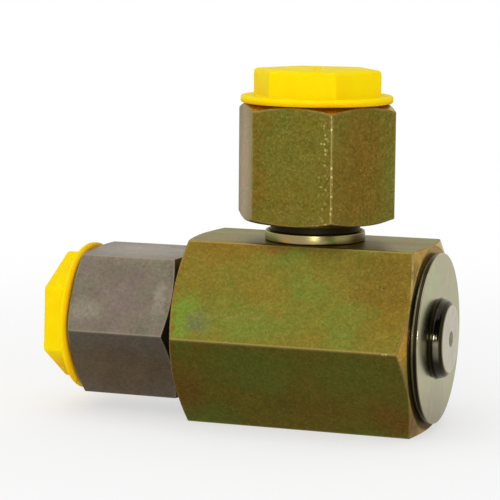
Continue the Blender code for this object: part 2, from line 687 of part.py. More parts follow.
def build():
    """Make the whole fitting."""
    clear_scene()
    finishes = make_finishes()
    swivel = axis_empty("swivel_axis", BODY_ACROSS_FLATS / 2.0, -math.pi / 2.0)
    port = axis_empty("port_axis", BODY_ACROSS_FLATS, 0.0)
    make_body(swivel, port, finishes["yellow_zinc"])
    make_spindle(swivel, finishes["turned_steel"])
    make_washers(swivel, finishes["turned_steel"])
    make_dust_seal(swivel, finishes["rubber"])
    make_journal_rings(swivel, finishes)
    make_retaining_ring(swivel, finishes["spring_steel"])
    cone_ring("side_cone_o_ring", SIDE_NUT_PLACE, swivel, finishes["rubber"])
    make_nut(
        "side_nut",
        SIDE_NUT_LENGTH,
        SIDE_NUT_MOUTH_ANGLE,
        SIDE_NUT_TURN,
        swivel,
        SIDE_NUT_PLACE,
        finishes["plain_zinc"],
    )
    side_plug_place = SIDE_NUT_PLACE + SIDE_NUT_LENGTH + SEAT_GAP
    make_plug("side_plug", SIDE_PLUG_TURN, swivel, side_plug_place, finishes["yellow_plastic"])
    make_port_stub(port, finishes["yellow_zinc"])
    make_port_stub_ring(port, finishes["rubber"])
    cone_ring("top_cone_o_ring", TOP_NUT_PLACE, port, finishes["rubber"])
    make_nut(
        "top_nut",
        TOP_NUT_LENGTH,
        NUT_MOUTH_ANGLE,
        TWELFTH_TURN + TOP_NUT_TURN,
        port,
        TOP_NUT_PLACE,
        finishes["yellow_zinc"],
    )
    top_plug_turn = TWELFTH_TURN + TOP_PLUG_TURN
    top_plug_place = TOP_NUT_PLACE + TOP_NUT_LENGTH + SEAT_GAP
    make_plug("top_plug", top_plug_turn, port, top_plug_place, finishes["yellow_plastic"])


build()
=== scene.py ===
"""Finished surfaces for a right-angle hydraulic swivel fitting, laid out as a Blender add-on.

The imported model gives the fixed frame, in metres: the spindle turns about the swivel
axis, along X, and the port stub stands on the body along Z. Each turned, hexagonal or
moulded piece is one grid of points, carried round its axis, and replaces its plain solid.
"""

import json
import math
from collections import namedtuple

import bmesh
import bpy
import numpy as np
from bpy.props import FloatProperty, FloatVectorProperty, PointerProperty
from mathutils import Matrix, Vector

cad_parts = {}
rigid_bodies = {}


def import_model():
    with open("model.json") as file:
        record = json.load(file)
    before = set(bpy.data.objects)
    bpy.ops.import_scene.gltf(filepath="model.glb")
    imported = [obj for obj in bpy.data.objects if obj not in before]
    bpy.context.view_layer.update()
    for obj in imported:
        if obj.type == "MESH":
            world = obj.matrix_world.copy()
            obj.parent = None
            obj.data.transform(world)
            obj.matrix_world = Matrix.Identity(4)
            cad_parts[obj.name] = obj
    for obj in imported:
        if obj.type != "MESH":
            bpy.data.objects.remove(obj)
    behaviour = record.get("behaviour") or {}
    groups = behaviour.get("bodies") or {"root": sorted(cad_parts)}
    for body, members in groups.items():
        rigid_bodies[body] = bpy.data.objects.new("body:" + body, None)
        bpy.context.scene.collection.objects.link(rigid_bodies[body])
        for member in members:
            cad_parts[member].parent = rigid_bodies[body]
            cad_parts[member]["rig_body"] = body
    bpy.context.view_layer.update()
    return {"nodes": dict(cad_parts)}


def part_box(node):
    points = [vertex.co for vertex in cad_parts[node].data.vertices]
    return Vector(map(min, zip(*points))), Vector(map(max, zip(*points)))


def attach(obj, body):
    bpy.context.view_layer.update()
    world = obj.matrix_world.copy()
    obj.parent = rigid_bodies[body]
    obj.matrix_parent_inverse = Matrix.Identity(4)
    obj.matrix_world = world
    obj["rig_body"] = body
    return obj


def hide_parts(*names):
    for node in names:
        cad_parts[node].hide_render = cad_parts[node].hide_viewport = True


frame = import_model()

bl_info = {
    "name": "Swivel Fitting Finisher",
    "version": (1, 0, 0),
    "blender": (4, 5, 0),
    "location": "3D View > Sidebar > Swivel Fitting",
    "description": "Makes the finished surfaces of a right-angle hydraulic swivel fitting",
    "category": "Object",
}

# Angles of a hexagon
QUARTER_TURN = math.pi / 2.0
SIXTH_TURN = math.pi / 3.0
TWELFTH_TURN = math.pi / 6.0

# Read from the frame. A height on the swivel axis is -x, and a height on the port axis is
# counted from the body's upper flat.
BODY_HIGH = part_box("body")[1]
HALF_LENGTH = BODY_HIGH.x
BODY_APOTHEM = BODY_HIGH.z / 2.0
BOSS_FACE = -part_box("spindle")[1].x
STUB_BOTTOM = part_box("port_stub")[0].z - BODY_HIGH.z
SIDE_NUT_MOUTH, SIDE_NUT_BACK = (-corner.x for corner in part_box("side_nut"))
TOP_NUT_BACK, TOP_NUT_MOUTH = (corner.z - BODY_HIGH.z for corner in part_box("top_nut"))

# A turning axis: where height 0 lies, its direction and two directions across it
Axis = namedtuple("Axis", "origin along first second")
X, Y, Z = np.eye(3)
SWIVEL = Axis(BODY_APOTHEM * Z, -X, Z, Y)
PORT = Axis(BODY_HIGH.z * Z, Z, X, Y)

# Clearances
SEAT_GAP = 0.0001
RUNNING_CLEARANCE = 0.00006
NUT_PLAY = 0.00008
LAND_CLEARANCE = 0.00015

# Roundings of edges and roots
CRISP = 0.0001
RING_EDGE = 0.00012
BROKEN = 0.0002
SOFT = 0.0003
EASED = 0.0004
BLUNT = 0.0005

# Wear of edges, from those that hardly anything touches to those that stand proud
FAINT_WEAR = 0.3
SOME_WEAR = 0.5
CLEAR_WEAR = 0.6
MUCH_WEAR = 0.8
FULL_WEAR = 1.0

# Body. Its stations are the distances from its middle to the seal groove's two sides, to
# the bush's floor and to the recess's floor, towards the nose and towards the flange.
BODY_FACE_INSET = 0.0003
BODY_FACE_RADIUS = BODY_APOTHEM - BODY_FACE_INSET
BODY_CHAMFER_ANGLE = math.radians(21.0)
BORE_LAND = 0.01015
BUSH_SEAT = 0.01162
GROOVE_RADIUS = 0.0123
NOSE_RECESS_RADIUS = 0.0150
DUST_RECESS_RADIUS = 0.0138
CHAMBER_HALF = 0.0060
NOSE_STATIONS = (0.0102, 0.0138, 0.0158, 0.0235)
FLANGE_STATIONS = (0.0109, 0.0145, 0.0165, 0.0242)
PORT_DEPTH = 0.0069
PORT_THREAD_RADIUS = 0.0090
PORT_HOLE_RADIUS = 0.0050
PORT_SEAT_RADIUS = 0.0102
PORT_SEAT_DEPTH = 0.0019
CUT_MARGIN = 0.0020

# Spindle and noses
JOURNAL_RADIUS = 0.0100
FLOW_RADIUS = 0.0060
FLOW_PAST_HOLES = 0.0010
CROSS_HOLE_RADIUS = 0.0031
FLANGE_RADIUS = 0.01885
FLANGE_GAP = 0.0007
FLANGE_THICKNESS = 0.0012
FLANGE_BACK = HALF_LENGTH + FLANGE_GAP
FLANGE_FACE = FLANGE_BACK + FLANGE_THICKNESS
BOSS_RADIUS = 0.0088
BOSS_FACE_RADIUS = 0.0073
BOSS_SHOULDER_RADIUS = 0.00843
BOSS_SHOULDER = 0.00075
BOSS_SIDE_END = 0.00195
CENTRE_MOUTH_RADIUS = 0.00175
CENTRE_HOLE_RADIUS = 0.0008
CENTRE_HOLE_DEPTH = 0.0040
CENTRE_CONE_SLOPE = math.tan(math.radians(30.0))
DRILL_SLOPE = math.tan(math.radians(59.0))
RING_GROOVE_RADIUS = 0.0095
RING_GROOVE = (0.0246, 0.0260)
NOSE_REACH = 0.0196
CONE_LENGTH = 0.0080
CONE_SLOPE = math.tan(math.radians(12.0))
CONE_RING_PLACE = 0.0028
CONE_RING_REACH = 0.0010
CONE_RING_DEPTH = 0.00135
WIRE_PLACE = 0.0048
WIRE_REACH = 0.0011
WIRE_FLOOR = 0.00894

# Port stub
COLLAR_RADIUS = 0.0112
COLLAR_TOP = 0.0023
COLLAR_MIDDLE = 0.0010
COLLAR_DRAFT = 0.00012
STUB_THREAD_RADIUS = PORT_THREAD_RADIUS - RUNNING_CLEARANCE
STUB_RELIEF_RADIUS = 0.0082

# Nuts
NUT_APOTHEM = 0.0160
NUT_FACE_INSET = 0.0004
NUT_FACE_RADIUS = NUT_APOTHEM - NUT_FACE_INSET
NUT_BACK_ANGLE = math.radians(21.5)
TOP_MOUTH_ANGLE = math.radians(27.0)
NUT_BACK_HOLE = JOURNAL_RADIUS + NUT_PLAY
NUT_BACK_WALL = 0.0096
NUT_WIRE_GROOVE = 0.01114
NUT_THREAD_RADIUS = 0.0122
NUT_MOUTH_CHAMFER = 0.0008
SIDE_NUT_CORNER = math.radians(88.1)
TOP_NUT_CORNER = math.radians(57.8)

# Plugs
PLUG_FLANGE_RADIUS = 0.0169
PLUG_FLANGE_THICKNESS = 0.00165
PLUG_APOTHEM = 0.01275
PLUG_HEAD_HEIGHT = 0.00575
PLUG_TOP_WALL = 0.0018
PLUG_SHANK_LENGTH = 0.0070
PLUG_SHANK_RADIUS = NUT_THREAD_RADIUS - RUNNING_CLEARANCE
PLUG_SHANK_WALL = 0.0018
PLUG_PLAIN_TIP = PLUG_SHANK_WALL / 3.0
PLUG_PLAIN_NECK = 0.0026
GATE_RADIUS = 0.0009
GATE_HEIGHT = 0.0003
SIDE_PLUG_CORNER = math.radians(63.0)
TOP_PLUG_CORNER = math.radians(62.5)

# Sections of the round rings
SEAL_SECTION = 0.0021
O_RING_SECTION = 0.0018
WIRE_SECTION = 0.0020

# How much of a thread's triangle its flat root, and its flat tip, take away
THREAD_FLAT = 0.125
THREAD_FLANK = 1.0 - 2.0 * THREAD_FLAT

# How finely the surfaces are worked out
ROUND_COLUMNS = 192
FLAT_COLUMNS = 16
CORNER_COLUMNS = 9
ARC_ROWS = 5
RING_ROWS = 24
THREAD_ROWS_PER_TURN = 12

# How far beyond a rounding its guard rows lie, and the largest shares of a side that a
# rounding and its guard row take
GUARD = 0.00015
LARGEST_CUT = 0.4
LARGEST_GUARD = 0.46

# Edges from this angle on are sharp. Radii this close are the same, and points this close
# are welded after a cut. The drills are turned so that their points miss the journal's.
SHARP_ANGLE = math.radians(32.0)
SAME_RADIUS = 0.0000001
WELD = 0.000004
DRILL_TURN = 0.007


def round_angles():
    """Equal angles once round a circle."""
    return np.arange(ROUND_COLUMNS) * 2.0 * math.pi / ROUND_COLUMNS


def hexagon(apothem, corner_round, first_corner):
    """Once round a hexagon: angles, the side's distance from the axis, and 1 on its corners.

    On a flat the distance is the apothem over the cosine of the angle from the flat's middle.
    On a corner, where the angles are closer together, it is the far crossing of the ray with
    the corner's circle.
    """
    centre = (apothem - corner_round) / math.cos(TWELFTH_TURN)
    arc = math.atan2(
        corner_round * math.sin(TWELFTH_TURN), centre + corner_round * math.cos(TWELFTH_TURN)
    )
    flat = np.linspace(arc + GUARD / apothem, TWELFTH_TURN, FLAT_COLUMNS)
    off = np.concatenate((-flat[::-1], np.linspace(-arc, arc, CORNER_COLUMNS), flat[:-1]))
    on_corner = np.abs(off) <= arc
    inside = np.maximum(corner_round ** 2 - (centre * np.sin(off)) ** 2, 0.0)
    on_circle = centre * np.cos(off) + np.sqrt(inside)
    side = np.where(on_corner, on_circle, apothem / np.cos(TWELFTH_TURN - np.abs(off)))
    angles = first_corner + np.arange(6)[:, None] * SIXTH_TURN + off[None, :]
    return angles.ravel(), np.tile(side, 6), np.tile(on_corner.astype(float), 6)


def rounded(corners, columns):
    """Carry a profile round its corners.

    Each corner is cut back by its rounding on both sides and bridged by the quadratic
    curve (1-t)^2 A + 2t(1-t) C + t^2 B, with a guard row beyond each end so that shading
    and wear stay on the edge. A corner is (radius, height, rounding, wear). Its radius and
    height are each a number or one number per column, and what is left out is 0.
    Returns rows of (radius, height) by column, and the wear of each row.
    """
    points = np.array([[np.broadcast_to(value, columns) for value in corner[:2]] for corner in corners])
    before = np.roll(points, 1, axis=0) - points
    after = np.roll(points, -1, axis=0) - points
    back_length = np.linalg.norm(before, axis=1)
    ahead_length = np.linalg.norm(after, axis=1)
    t = np.linspace(0.0, 1.0, ARC_ROWS)[:, None, None]
    rows = []
    row_wear = []
    for index, corner in enumerate(corners):
        rounding, wear = (*corner[2:], 0.0, 0.0)[:2]
        here = points[index]
        if rounding == 0.0:
            rows.append(here)
            row_wear.append(wear)
            continue
        back = before[index] / back_length[index]
        ahead = after[index] / ahead_length[index]
        shortest = np.minimum(back_length[index], ahead_length[index])
        cut = np.minimum(rounding, LARGEST_CUT * shortest)
        guard = np.minimum(cut + GUARD, LARGEST_GUARD * shortest)
        start = here + back * cut
        end = here + ahead * cut
        curve = (1.0 - t) ** 2 * start + 2.0 * t * (1.0 - t) * here + t ** 2 * end
        rows += [here + back * guard, *curve, here + ahead * guard]
        row_wear += [0.0, *[wear] * ARC_ROWS, 0.0]
    return np.array(rows), np.array(row_wear)


def tooth(turn):
    """A screw thread's outline over one pitch: a triangle wave with its tip and root cut flat."""
    wave = 1.0 - np.abs(2.0 * (turn % 1.0) - 1.0)
    return np.clip((wave - THREAD_FLAT) / THREAD_FLANK, 0.0, 1.0)


def smooth_step(value):
    """3x^2 - 2x^3 between 0 and 1, flat outside."""
    x = np.clip(value, 0.0, 1.0)
    return x * x * (3.0 - 2.0 * x)


def lies_on(rows, radius):
    """Which rows of a profile keep a radius all the way round."""
    return (np.abs(rows[:, 0] - radius) < SAME_RADIUS).all(axis=1)


def threaded(rows, wear, angles, radius, low, high, pitch, depth):
    """Put a right-hand thread on the longest plain stretch that has the given radius.

    The radius there grows by depth times the tooth at (height - pitch * angle / 2 pi) / pitch,
    and the thread runs out over one pitch at the low and the high end.
    """
    plain = lies_on(rows, radius)
    spans = np.where(plain[:-1] & plain[1:], np.abs(np.diff(rows[:, 1, 0])), 0.0)
    index = int(np.argmax(spans))
    count = int(spans[index] / pitch * THREAD_ROWS_PER_TURN)
    heights = np.linspace(rows[index, 1, 0], rows[index + 1, 1, 0], count)[1:-1]
    envelope = smooth_step((heights - low) / pitch) * smooth_step((high - heights) / pitch)
    turn = (heights[:, None] - pitch * angles[None, :] / (2.0 * math.pi)) / pitch
    radii = radius + depth * envelope[:, None] * tooth(turn)
    added = np.stack((radii, np.broadcast_to(heights[:, None], radii.shape)), axis=1)
    rows = np.concatenate((rows[: index + 1], added, rows[index + 1:]))
    wear = np.concatenate((wear[: index + 1], np.zeros(len(added)), wear[index + 1:]))
    return rows, wear


def new_object(name, data):
    """An object of the scene that holds a mesh, a lamp or a camera."""
    thing = bpy.data.objects.new(name, data)
    bpy.context.scene.collection.objects.link(thing)
    return thing


def mark(mesh, name, values):
    """Write one number per point to a mesh, for its material to read."""
    layer = mesh.attributes.new(name, "FLOAT", "POINT")
    layer.data.foreach_set("value", np.ascontiguousarray(values, dtype=np.float32).ravel())


def grid_faces(row_count, column_count, ring):
    """Four-sided faces between a grid's points, which close round its columns, and triangles.

    A ring's last row joins its first. Without a ring the first row and the last row are one
    point each, with the triangles round them.
    """
    place = np.arange(row_count * column_count).reshape(row_count, column_count)
    if ring:
        start = place
        end = np.roll(place, -1, axis=0)
    else:
        place = np.clip(place - column_count + 1, 0, (row_count - 2) * column_count + 1)
        start = place[:-1]
        end = place[1:]
    corners = np.stack((start, np.roll(start, -1, axis=1), np.roll(end, -1, axis=1), end), axis=-1)
    if ring:
        return corners.reshape(-1, 4), np.zeros((0, 3), dtype=int)
    return corners[1:-1].reshape(-1, 4), np.concatenate((corners[0][:, 1:], corners[-1][:, :3]))


def skin(name, rows, wear, angles, axis):
    """Make a closed mesh of a profile's rows, carried round an axis.

    A point is origin + height * along + radius * (cos angle * first + sin angle * second).
    A profile that starts on the axis has a point on it at each end. Any other one is joined
    to its own start and gives a ring.
    """
    ring = rows[0, 0].any()
    across = np.cos(angles)[:, None] * axis.first + np.sin(angles)[:, None] * axis.second
    points = axis.origin + rows[:, 1, :, None] * axis.along + rows[:, 0, :, None] * across[None]
    row_count, column_count = points.shape[:2]
    values = np.broadcast_to(wear.reshape(row_count, -1), (row_count, column_count)).ravel()
    points = points.reshape(-1, 3)
    if not ring:
        # The first row and the last row are each kept as one point
        points = points[column_count - 1:1 - column_count]
        values = values[column_count - 1:1 - column_count]
    quads, caps = grid_faces(row_count, column_count, ring)
    first, second, third, fourth = (points[quads[:, index]] for index in range(4))
    volume = np.einsum("ij,ij->", first, np.cross(second, third) + np.cross(third, fourth))
    if volume < 0.0:
        quads = quads[:, ::-1]
        caps = caps[:, ::-1]
    mesh = bpy.data.meshes.new(name)
    mesh.from_pydata(points, [], quads.tolist() + caps.tolist())
    mesh.shade_smooth()
    mesh.set_sharp_from_angle(angle=SHARP_ANGLE)
    mark(mesh, "edge_wear", values)
    normals = np.empty(len(points) * 3, dtype=np.float32)
    mesh.vertex_normals.foreach_get("vector", normals)
    mark(mesh, "end_facing", np.abs(normals.reshape(-1, 3) @ axis.along))
    mesh.validate()
    return new_object(name, mesh)


def cutter(name, steps, top, axis, turn=0.0):
    """A stepped tool to cut with, up to its top. A step is its radius and the height it starts at."""
    corners = [(0.0, steps[0][1])]
    ends = [start for _, start in steps[1:]] + [top]
    for (radius, start), end in zip(steps, ends):
        corners += [(radius, start), (radius, end)]
    corners.append((0.0, top))
    angles = round_angles() + turn
    return skin(name, *rounded(corners, len(angles)), angles, axis)


def carve(piece, cutters):
    """Cut other closed shapes out of a piece, keep the result as its mesh and weld doubled points."""
    for tool in cutters:
        step = piece.modifiers.new(tool.name, "BOOLEAN")
        step.operation = "DIFFERENCE"
        step.object = tool
    ready = bpy.context.evaluated_depsgraph_get()
    mesh = bpy.data.meshes.new_from_object(piece.evaluated_get(ready), depsgraph=ready)
    piece.modifiers.clear()
    piece.data = mesh
    welded = bmesh.new()
    welded.from_mesh(mesh)
    bmesh.ops.remove_doubles(welded, verts=welded.verts[:], dist=WELD)
    bmesh.ops.dissolve_degenerate(welded, edges=welded.edges[:], dist=WELD)
    welded.to_mesh(mesh)
    welded.free()
    mesh.set_sharp_from_angle(angle=SHARP_ANGLE)
    for tool in cutters:
        bpy.data.objects.remove(tool, do_unlink=True)


def make_piece(node, rows, wear, angles, axis, finish, cutters=()):
    """Make the finished piece that stands for a node, and give it its cuts and its material."""
    piece = skin(node + "_finished", rows, wear, angles, axis)
    if cutters:
        carve(piece, cutters)
    piece.data.materials.append(finish)
    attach(piece, frame["nodes"][node]["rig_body"])
    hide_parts(node)


def turned_piece(node, corners, axis, finish, cutters=()):
    """A piece that is round all over, in place of a node."""
    angles = round_angles()
    make_piece(node, *rounded(corners, len(angles)), angles, axis, finish, cutters)


def hexagon_piece(node, corners, outline, axis, finish, thread=(), cutters=()):
    """A piece with a hexagon outside, in place of a node. Its sides' corners are worn.

    The outline is what hexagon() gives, and the thread is what threaded() takes last.
    """
    angles, side, on_corner = outline
    rows, wear = rounded(corners, len(angles))
    if thread:
        rows, wear = threaded(rows, wear, angles, *thread)
    on_side = lies_on(rows, side)[:, None]
    wear = np.maximum(wear[:, None], np.where(on_side, on_corner, 0.0))
    make_piece(node, rows, wear, angles, axis, finish, cutters)


def groove(wall, floor, low, high, root, wear):
    """Corners of a square groove with crisp edges, from a wall to its floor and back."""
    return [(wall, low, CRISP, wear), (floor, low, root), (floor, high, root), (wall, high, CRISP, wear)]


def nose_corners(nut_back):
    """Outer side of a nose: the wire's groove, the cone with its ring groove, and the tip."""
    wire = nut_back + WIRE_PLACE
    tip = nut_back + NOSE_REACH
    cone = tip - CONE_LENGTH
    near = CONE_RING_PLACE - CONE_RING_REACH
    far = CONE_RING_PLACE + CONE_RING_REACH
    ring_floor = JOURNAL_RADIUS - CONE_RING_PLACE * CONE_SLOPE - CONE_RING_DEPTH
    return [
        *groove(JOURNAL_RADIUS, WIRE_FLOOR, wire - WIRE_REACH, wire + WIRE_REACH, EASED, SOME_WEAR),
        (JOURNAL_RADIUS, cone, SOFT, SOME_WEAR),
        (JOURNAL_RADIUS - near * CONE_SLOPE, cone + near, CRISP, SOME_WEAR),
        (ring_floor, cone + near, BROKEN),
        (ring_floor, cone + far, BROKEN),
        (JOURNAL_RADIUS - far * CONE_SLOPE, cone + far, CRISP, SOME_WEAR),
        (JOURNAL_RADIUS - CONE_LENGTH * CONE_SLOPE, tip, EASED, FULL_WEAR),
        (FLOW_RADIUS, tip, EASED, SOME_WEAR),
    ]


def bore_corners(sign, stations, recess_radius):
    """One half of the body's stepped bore, from its mouth in to the oil chamber."""
    groove_inner, groove_outer, bush_floor, recess_floor = (sign * station for station in stations)
    return [
        (recess_radius, sign * HALF_LENGTH, BROKEN, CLEAR_WEAR),
        (recess_radius, recess_floor, BROKEN),
        (BUSH_SEAT, recess_floor, CRISP, FAINT_WEAR),
        (BUSH_SEAT, bush_floor, CRISP),
        (BORE_LAND, bush_floor, CRISP, FAINT_WEAR),
        *groove(BORE_LAND, GROOVE_RADIUS, groove_outer, groove_inner, BROKEN, FAINT_WEAR),
        (BORE_LAND, sign * CHAMBER_HALF, CRISP, FAINT_WEAR),
        (GROOVE_RADIUS, sign * CHAMBER_HALF, SOFT),
    ]


def shape_body(shape, finish):
    """The hexagon body: chamfered ends, stepped bore, and the port cut down into its chamber."""
    outline = hexagon(BODY_APOTHEM, shape.body_corner_round, QUARTER_TURN)
    side = outline[1]
    rise = (side - BODY_FACE_RADIUS) * math.tan(BODY_CHAMFER_ANGLE)
    corners = [
        *bore_corners(-1.0, FLANGE_STATIONS, DUST_RECESS_RADIUS)[::-1],
        (BODY_FACE_RADIUS, -HALF_LENGTH, shape.edge_round, MUCH_WEAR),
        (side, -HALF_LENGTH + rise, shape.edge_round, FULL_WEAR),
        (side, HALF_LENGTH - rise, shape.edge_round, FULL_WEAR),
        (BODY_FACE_RADIUS, HALF_LENGTH, shape.edge_round, MUCH_WEAR),
        *bore_corners(1.0, NOSE_STATIONS, NOSE_RECESS_RADIUS),
    ]
    port_steps = (
        (PORT_HOLE_RADIUS, -BODY_APOTHEM),
        (PORT_THREAD_RADIUS, -PORT_DEPTH),
        (PORT_SEAT_RADIUS, -PORT_SEAT_DEPTH),
    )
    port_tool = cutter("port_tool", port_steps, CUT_MARGIN, PORT)
    hexagon_piece("body", corners, outline, SWIVEL, finish, cutters=[port_tool])


def shape_spindle(shape, finish):
    """The turned spindle: boss with a centre drilling, flange, journal, nose and oil ways."""
    cone_depth = (CENTRE_MOUTH_RADIUS - CENTRE_HOLE_RADIUS) / CENTRE_CONE_SLOPE
    flow_end = -CROSS_HOLE_RADIUS - FLOW_PAST_HOLES
    corners = [
        (0.0, BOSS_FACE + CENTRE_HOLE_DEPTH + CENTRE_HOLE_RADIUS / DRILL_SLOPE),
        (CENTRE_HOLE_RADIUS, BOSS_FACE + CENTRE_HOLE_DEPTH, CRISP),
        (CENTRE_HOLE_RADIUS, BOSS_FACE + cone_depth, CRISP),
        (CENTRE_MOUTH_RADIUS, BOSS_FACE, CRISP, MUCH_WEAR),
        (BOSS_FACE_RADIUS, BOSS_FACE, SOFT, CLEAR_WEAR),
        (BOSS_SHOULDER_RADIUS, BOSS_FACE + BOSS_SHOULDER, SOFT),
        (BOSS_RADIUS, BOSS_FACE + BOSS_SIDE_END, SOFT),
        (BOSS_RADIUS, -FLANGE_FACE, SOFT),
        (FLANGE_RADIUS, -FLANGE_FACE, shape.disc_edge_round, FULL_WEAR),
        (FLANGE_RADIUS, -FLANGE_BACK, CRISP, CLEAR_WEAR),
        (JOURNAL_RADIUS, -FLANGE_BACK, CRISP),
        *groove(JOURNAL_RADIUS, RING_GROOVE_RADIUS, *RING_GROOVE, CRISP, SOME_WEAR),
        *nose_corners(SIDE_NUT_BACK),
        (FLOW_RADIUS, flow_end, BROKEN),
        (0.0, flow_end - FLOW_RADIUS / DRILL_SLOPE),
    ]
    reach = JOURNAL_RADIUS + CUT_MARGIN
    drills = []
    for name, directions in (("drill_y", (Y, Z, X)), ("drill_z", (Z, X, Y))):
        axis = Axis(SWIVEL.origin, *directions)
        drills.append(cutter(name, ((CROSS_HOLE_RADIUS, -reach),), reach, axis, DRILL_TURN))
    turned_piece("spindle", corners, SWIVEL, finish, drills)


def shape_port_stub(shape, finish):
    """The stub: spigot, collar, neck and coned nose, bored right through."""
    relief = -PORT_SEAT_DEPTH - SEAT_GAP
    corners = [
        (FLOW_RADIUS, STUB_BOTTOM, BROKEN, FAINT_WEAR),
        (STUB_THREAD_RADIUS, STUB_BOTTOM, BLUNT, SOME_WEAR),
        (STUB_THREAD_RADIUS, relief, CRISP, SOME_WEAR),
        (STUB_RELIEF_RADIUS, relief, CRISP),
        (STUB_RELIEF_RADIUS, SEAT_GAP, BROKEN),
        (COLLAR_RADIUS, SEAT_GAP, shape.collar_edge_round, FAINT_WEAR),
        (COLLAR_RADIUS, COLLAR_MIDDLE, shape.collar_edge_round),
        (COLLAR_RADIUS - COLLAR_DRAFT, COLLAR_TOP, shape.collar_edge_round, SOME_WEAR),
        (JOURNAL_RADIUS, COLLAR_TOP, BROKEN),
        *nose_corners(TOP_NUT_BACK),
    ]
    turned_piece("port_stub", corners, PORT, finish)


def shape_nut(shape, node, back, mouth, mouth_angle, first_corner, axis, finish):
    """A swivel nut: hexagon outside, plain hole with the wire's groove behind, thread in its mouth."""
    outline = hexagon(NUT_APOTHEM, shape.nut_corner_round, first_corner)
    side = outline[1]
    width = side - NUT_FACE_RADIUS
    wall = back + NUT_BACK_WALL
    shoulder = NUT_THREAD_RADIUS - NUT_BACK_HOLE
    wire = back + WIRE_PLACE
    corners = [
        (NUT_BACK_HOLE, wire - WIRE_REACH, CRISP),
        (NUT_BACK_HOLE, back, BROKEN, SOME_WEAR),
        (NUT_FACE_RADIUS, back, shape.edge_round, MUCH_WEAR),
        (side, back + width * math.tan(NUT_BACK_ANGLE), shape.edge_round, FULL_WEAR),
        (side, mouth - width * math.tan(mouth_angle), shape.edge_round, FULL_WEAR),
        (NUT_FACE_RADIUS, mouth, shape.edge_round, MUCH_WEAR),
        (NUT_THREAD_RADIUS + NUT_MOUTH_CHAMFER, mouth, CRISP, CLEAR_WEAR),
        (NUT_THREAD_RADIUS, mouth - NUT_MOUTH_CHAMFER, CRISP, FAINT_WEAR),
        (NUT_THREAD_RADIUS, wall, CRISP),
        (NUT_BACK_HOLE, wall - shoulder, CRISP),
        (NUT_BACK_HOLE, wire + WIRE_REACH, CRISP),
        (NUT_WIRE_GROOVE, wire + WIRE_REACH, SOFT),
        (NUT_WIRE_GROOVE, wire - WIRE_REACH, SOFT),
    ]
    pitch = shape.thread_pitch
    thread = (NUT_THREAD_RADIUS, wall + pitch, mouth, pitch, shape.thread_depth)
    hexagon_piece(node, corners, outline, axis, finish, thread)


def shape_plug(shape, node, face, first_corner, axis, finish):
    """A moulded plug: hollow threaded shank, round flange, hexagon head with a gate mark."""
    outline = hexagon(PLUG_APOTHEM, shape.plug_round, first_corner)
    side = outline[1]
    hollow = PLUG_SHANK_RADIUS - PLUG_SHANK_WALL
    flange = face + PLUG_FLANGE_THICKNESS
    top = flange + PLUG_HEAD_HEIGHT
    gate = top + GATE_HEIGHT
    tip = face - PLUG_SHANK_LENGTH
    corners = [
        (0.0, top - PLUG_TOP_WALL),
        (hollow, top - PLUG_TOP_WALL, BLUNT),
        (hollow, tip, SOFT),
        (PLUG_SHANK_RADIUS, tip, EASED),
        (PLUG_SHANK_RADIUS, face, CRISP),
        (PLUG_FLANGE_RADIUS, face, shape.plug_flange_round),
        (PLUG_FLANGE_RADIUS, flange, shape.plug_flange_round),
        (side, flange, SOFT),
        (side, top, shape.plug_round),
        (GATE_RADIUS, top, CRISP),
        (GATE_RADIUS, gate, CRISP),
        (0.0, gate),
    ]
    low = tip + PLUG_PLAIN_TIP
    high = face - PLUG_PLAIN_NECK
    depth = shape.thread_depth - RUNNING_CLEARANCE
    thread = (PLUG_SHANK_RADIUS, low, high, shape.thread_pitch, depth)
    hexagon_piece(node, corners, outline, axis, finish, thread)


def stretch(node, axis):
    """Where a node's box lies along an axis: its low end, its high end and its outer radius."""
    low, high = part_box(node)
    if axis is SWIVEL:
        return -high.x, -low.x, (high.z - low.z) / 2.0
    return low.z - BODY_HIGH.z, high.z - BODY_HIGH.z, (high.x - low.x) / 2.0


def shape_flat_ring(node, inner, finish):
    """A washer, bush or backup ring between its inner radius and its node's box."""
    low, high, outer = stretch(node, SWIVEL)
    corners = [
        (inner, low, RING_EDGE, FAINT_WEAR),
        (outer, low, RING_EDGE, SOME_WEAR),
        (outer, high, RING_EDGE, SOME_WEAR),
        (inner, high, RING_EDGE, FAINT_WEAR),
    ]
    turned_piece(node, corners, SWIVEL, finish)


def shape_round_ring(node, section, axis, finish):
    """A ring of round section: radius centre + section/2 * cos t, height middle + section/2 * sin t."""
    low, high, outer = stretch(node, axis)
    turn = np.arange(RING_ROWS) * 2.0 * math.pi / RING_ROWS
    radii = outer - section / 2.0 + section / 2.0 * np.cos(turn)
    heights = (low + high) / 2.0 + section / 2.0 * np.sin(turn)
    angles = round_angles()
    rows = np.broadcast_to(np.stack((radii, heights), axis=1)[:, :, None], (RING_ROWS, 2, len(angles)))
    make_piece(node, rows, np.zeros(RING_ROWS), angles, axis, finish)


def shape_dust_seal(finish):
    """The wiper under the flange: a square ring with a vee in its outer face."""
    low, high, outer = stretch("dust_seal", SWIVEL)
    inner = JOURNAL_RADIUS + SEAT_GAP
    lip = (outer - inner) / 4.0
    corners = [
        (inner, low, CRISP),
        (inner + lip, low, CRISP),
        ((inner + outer) / 2.0, (low + high) / 2.0, SOFT),
        (outer - lip, low, CRISP),
        (outer, low, CRISP),
        (outer, high, BROKEN),
        (inner, high, BROKEN),
    ]
    turned_piece("dust_seal", corners, SWIVEL, finish)


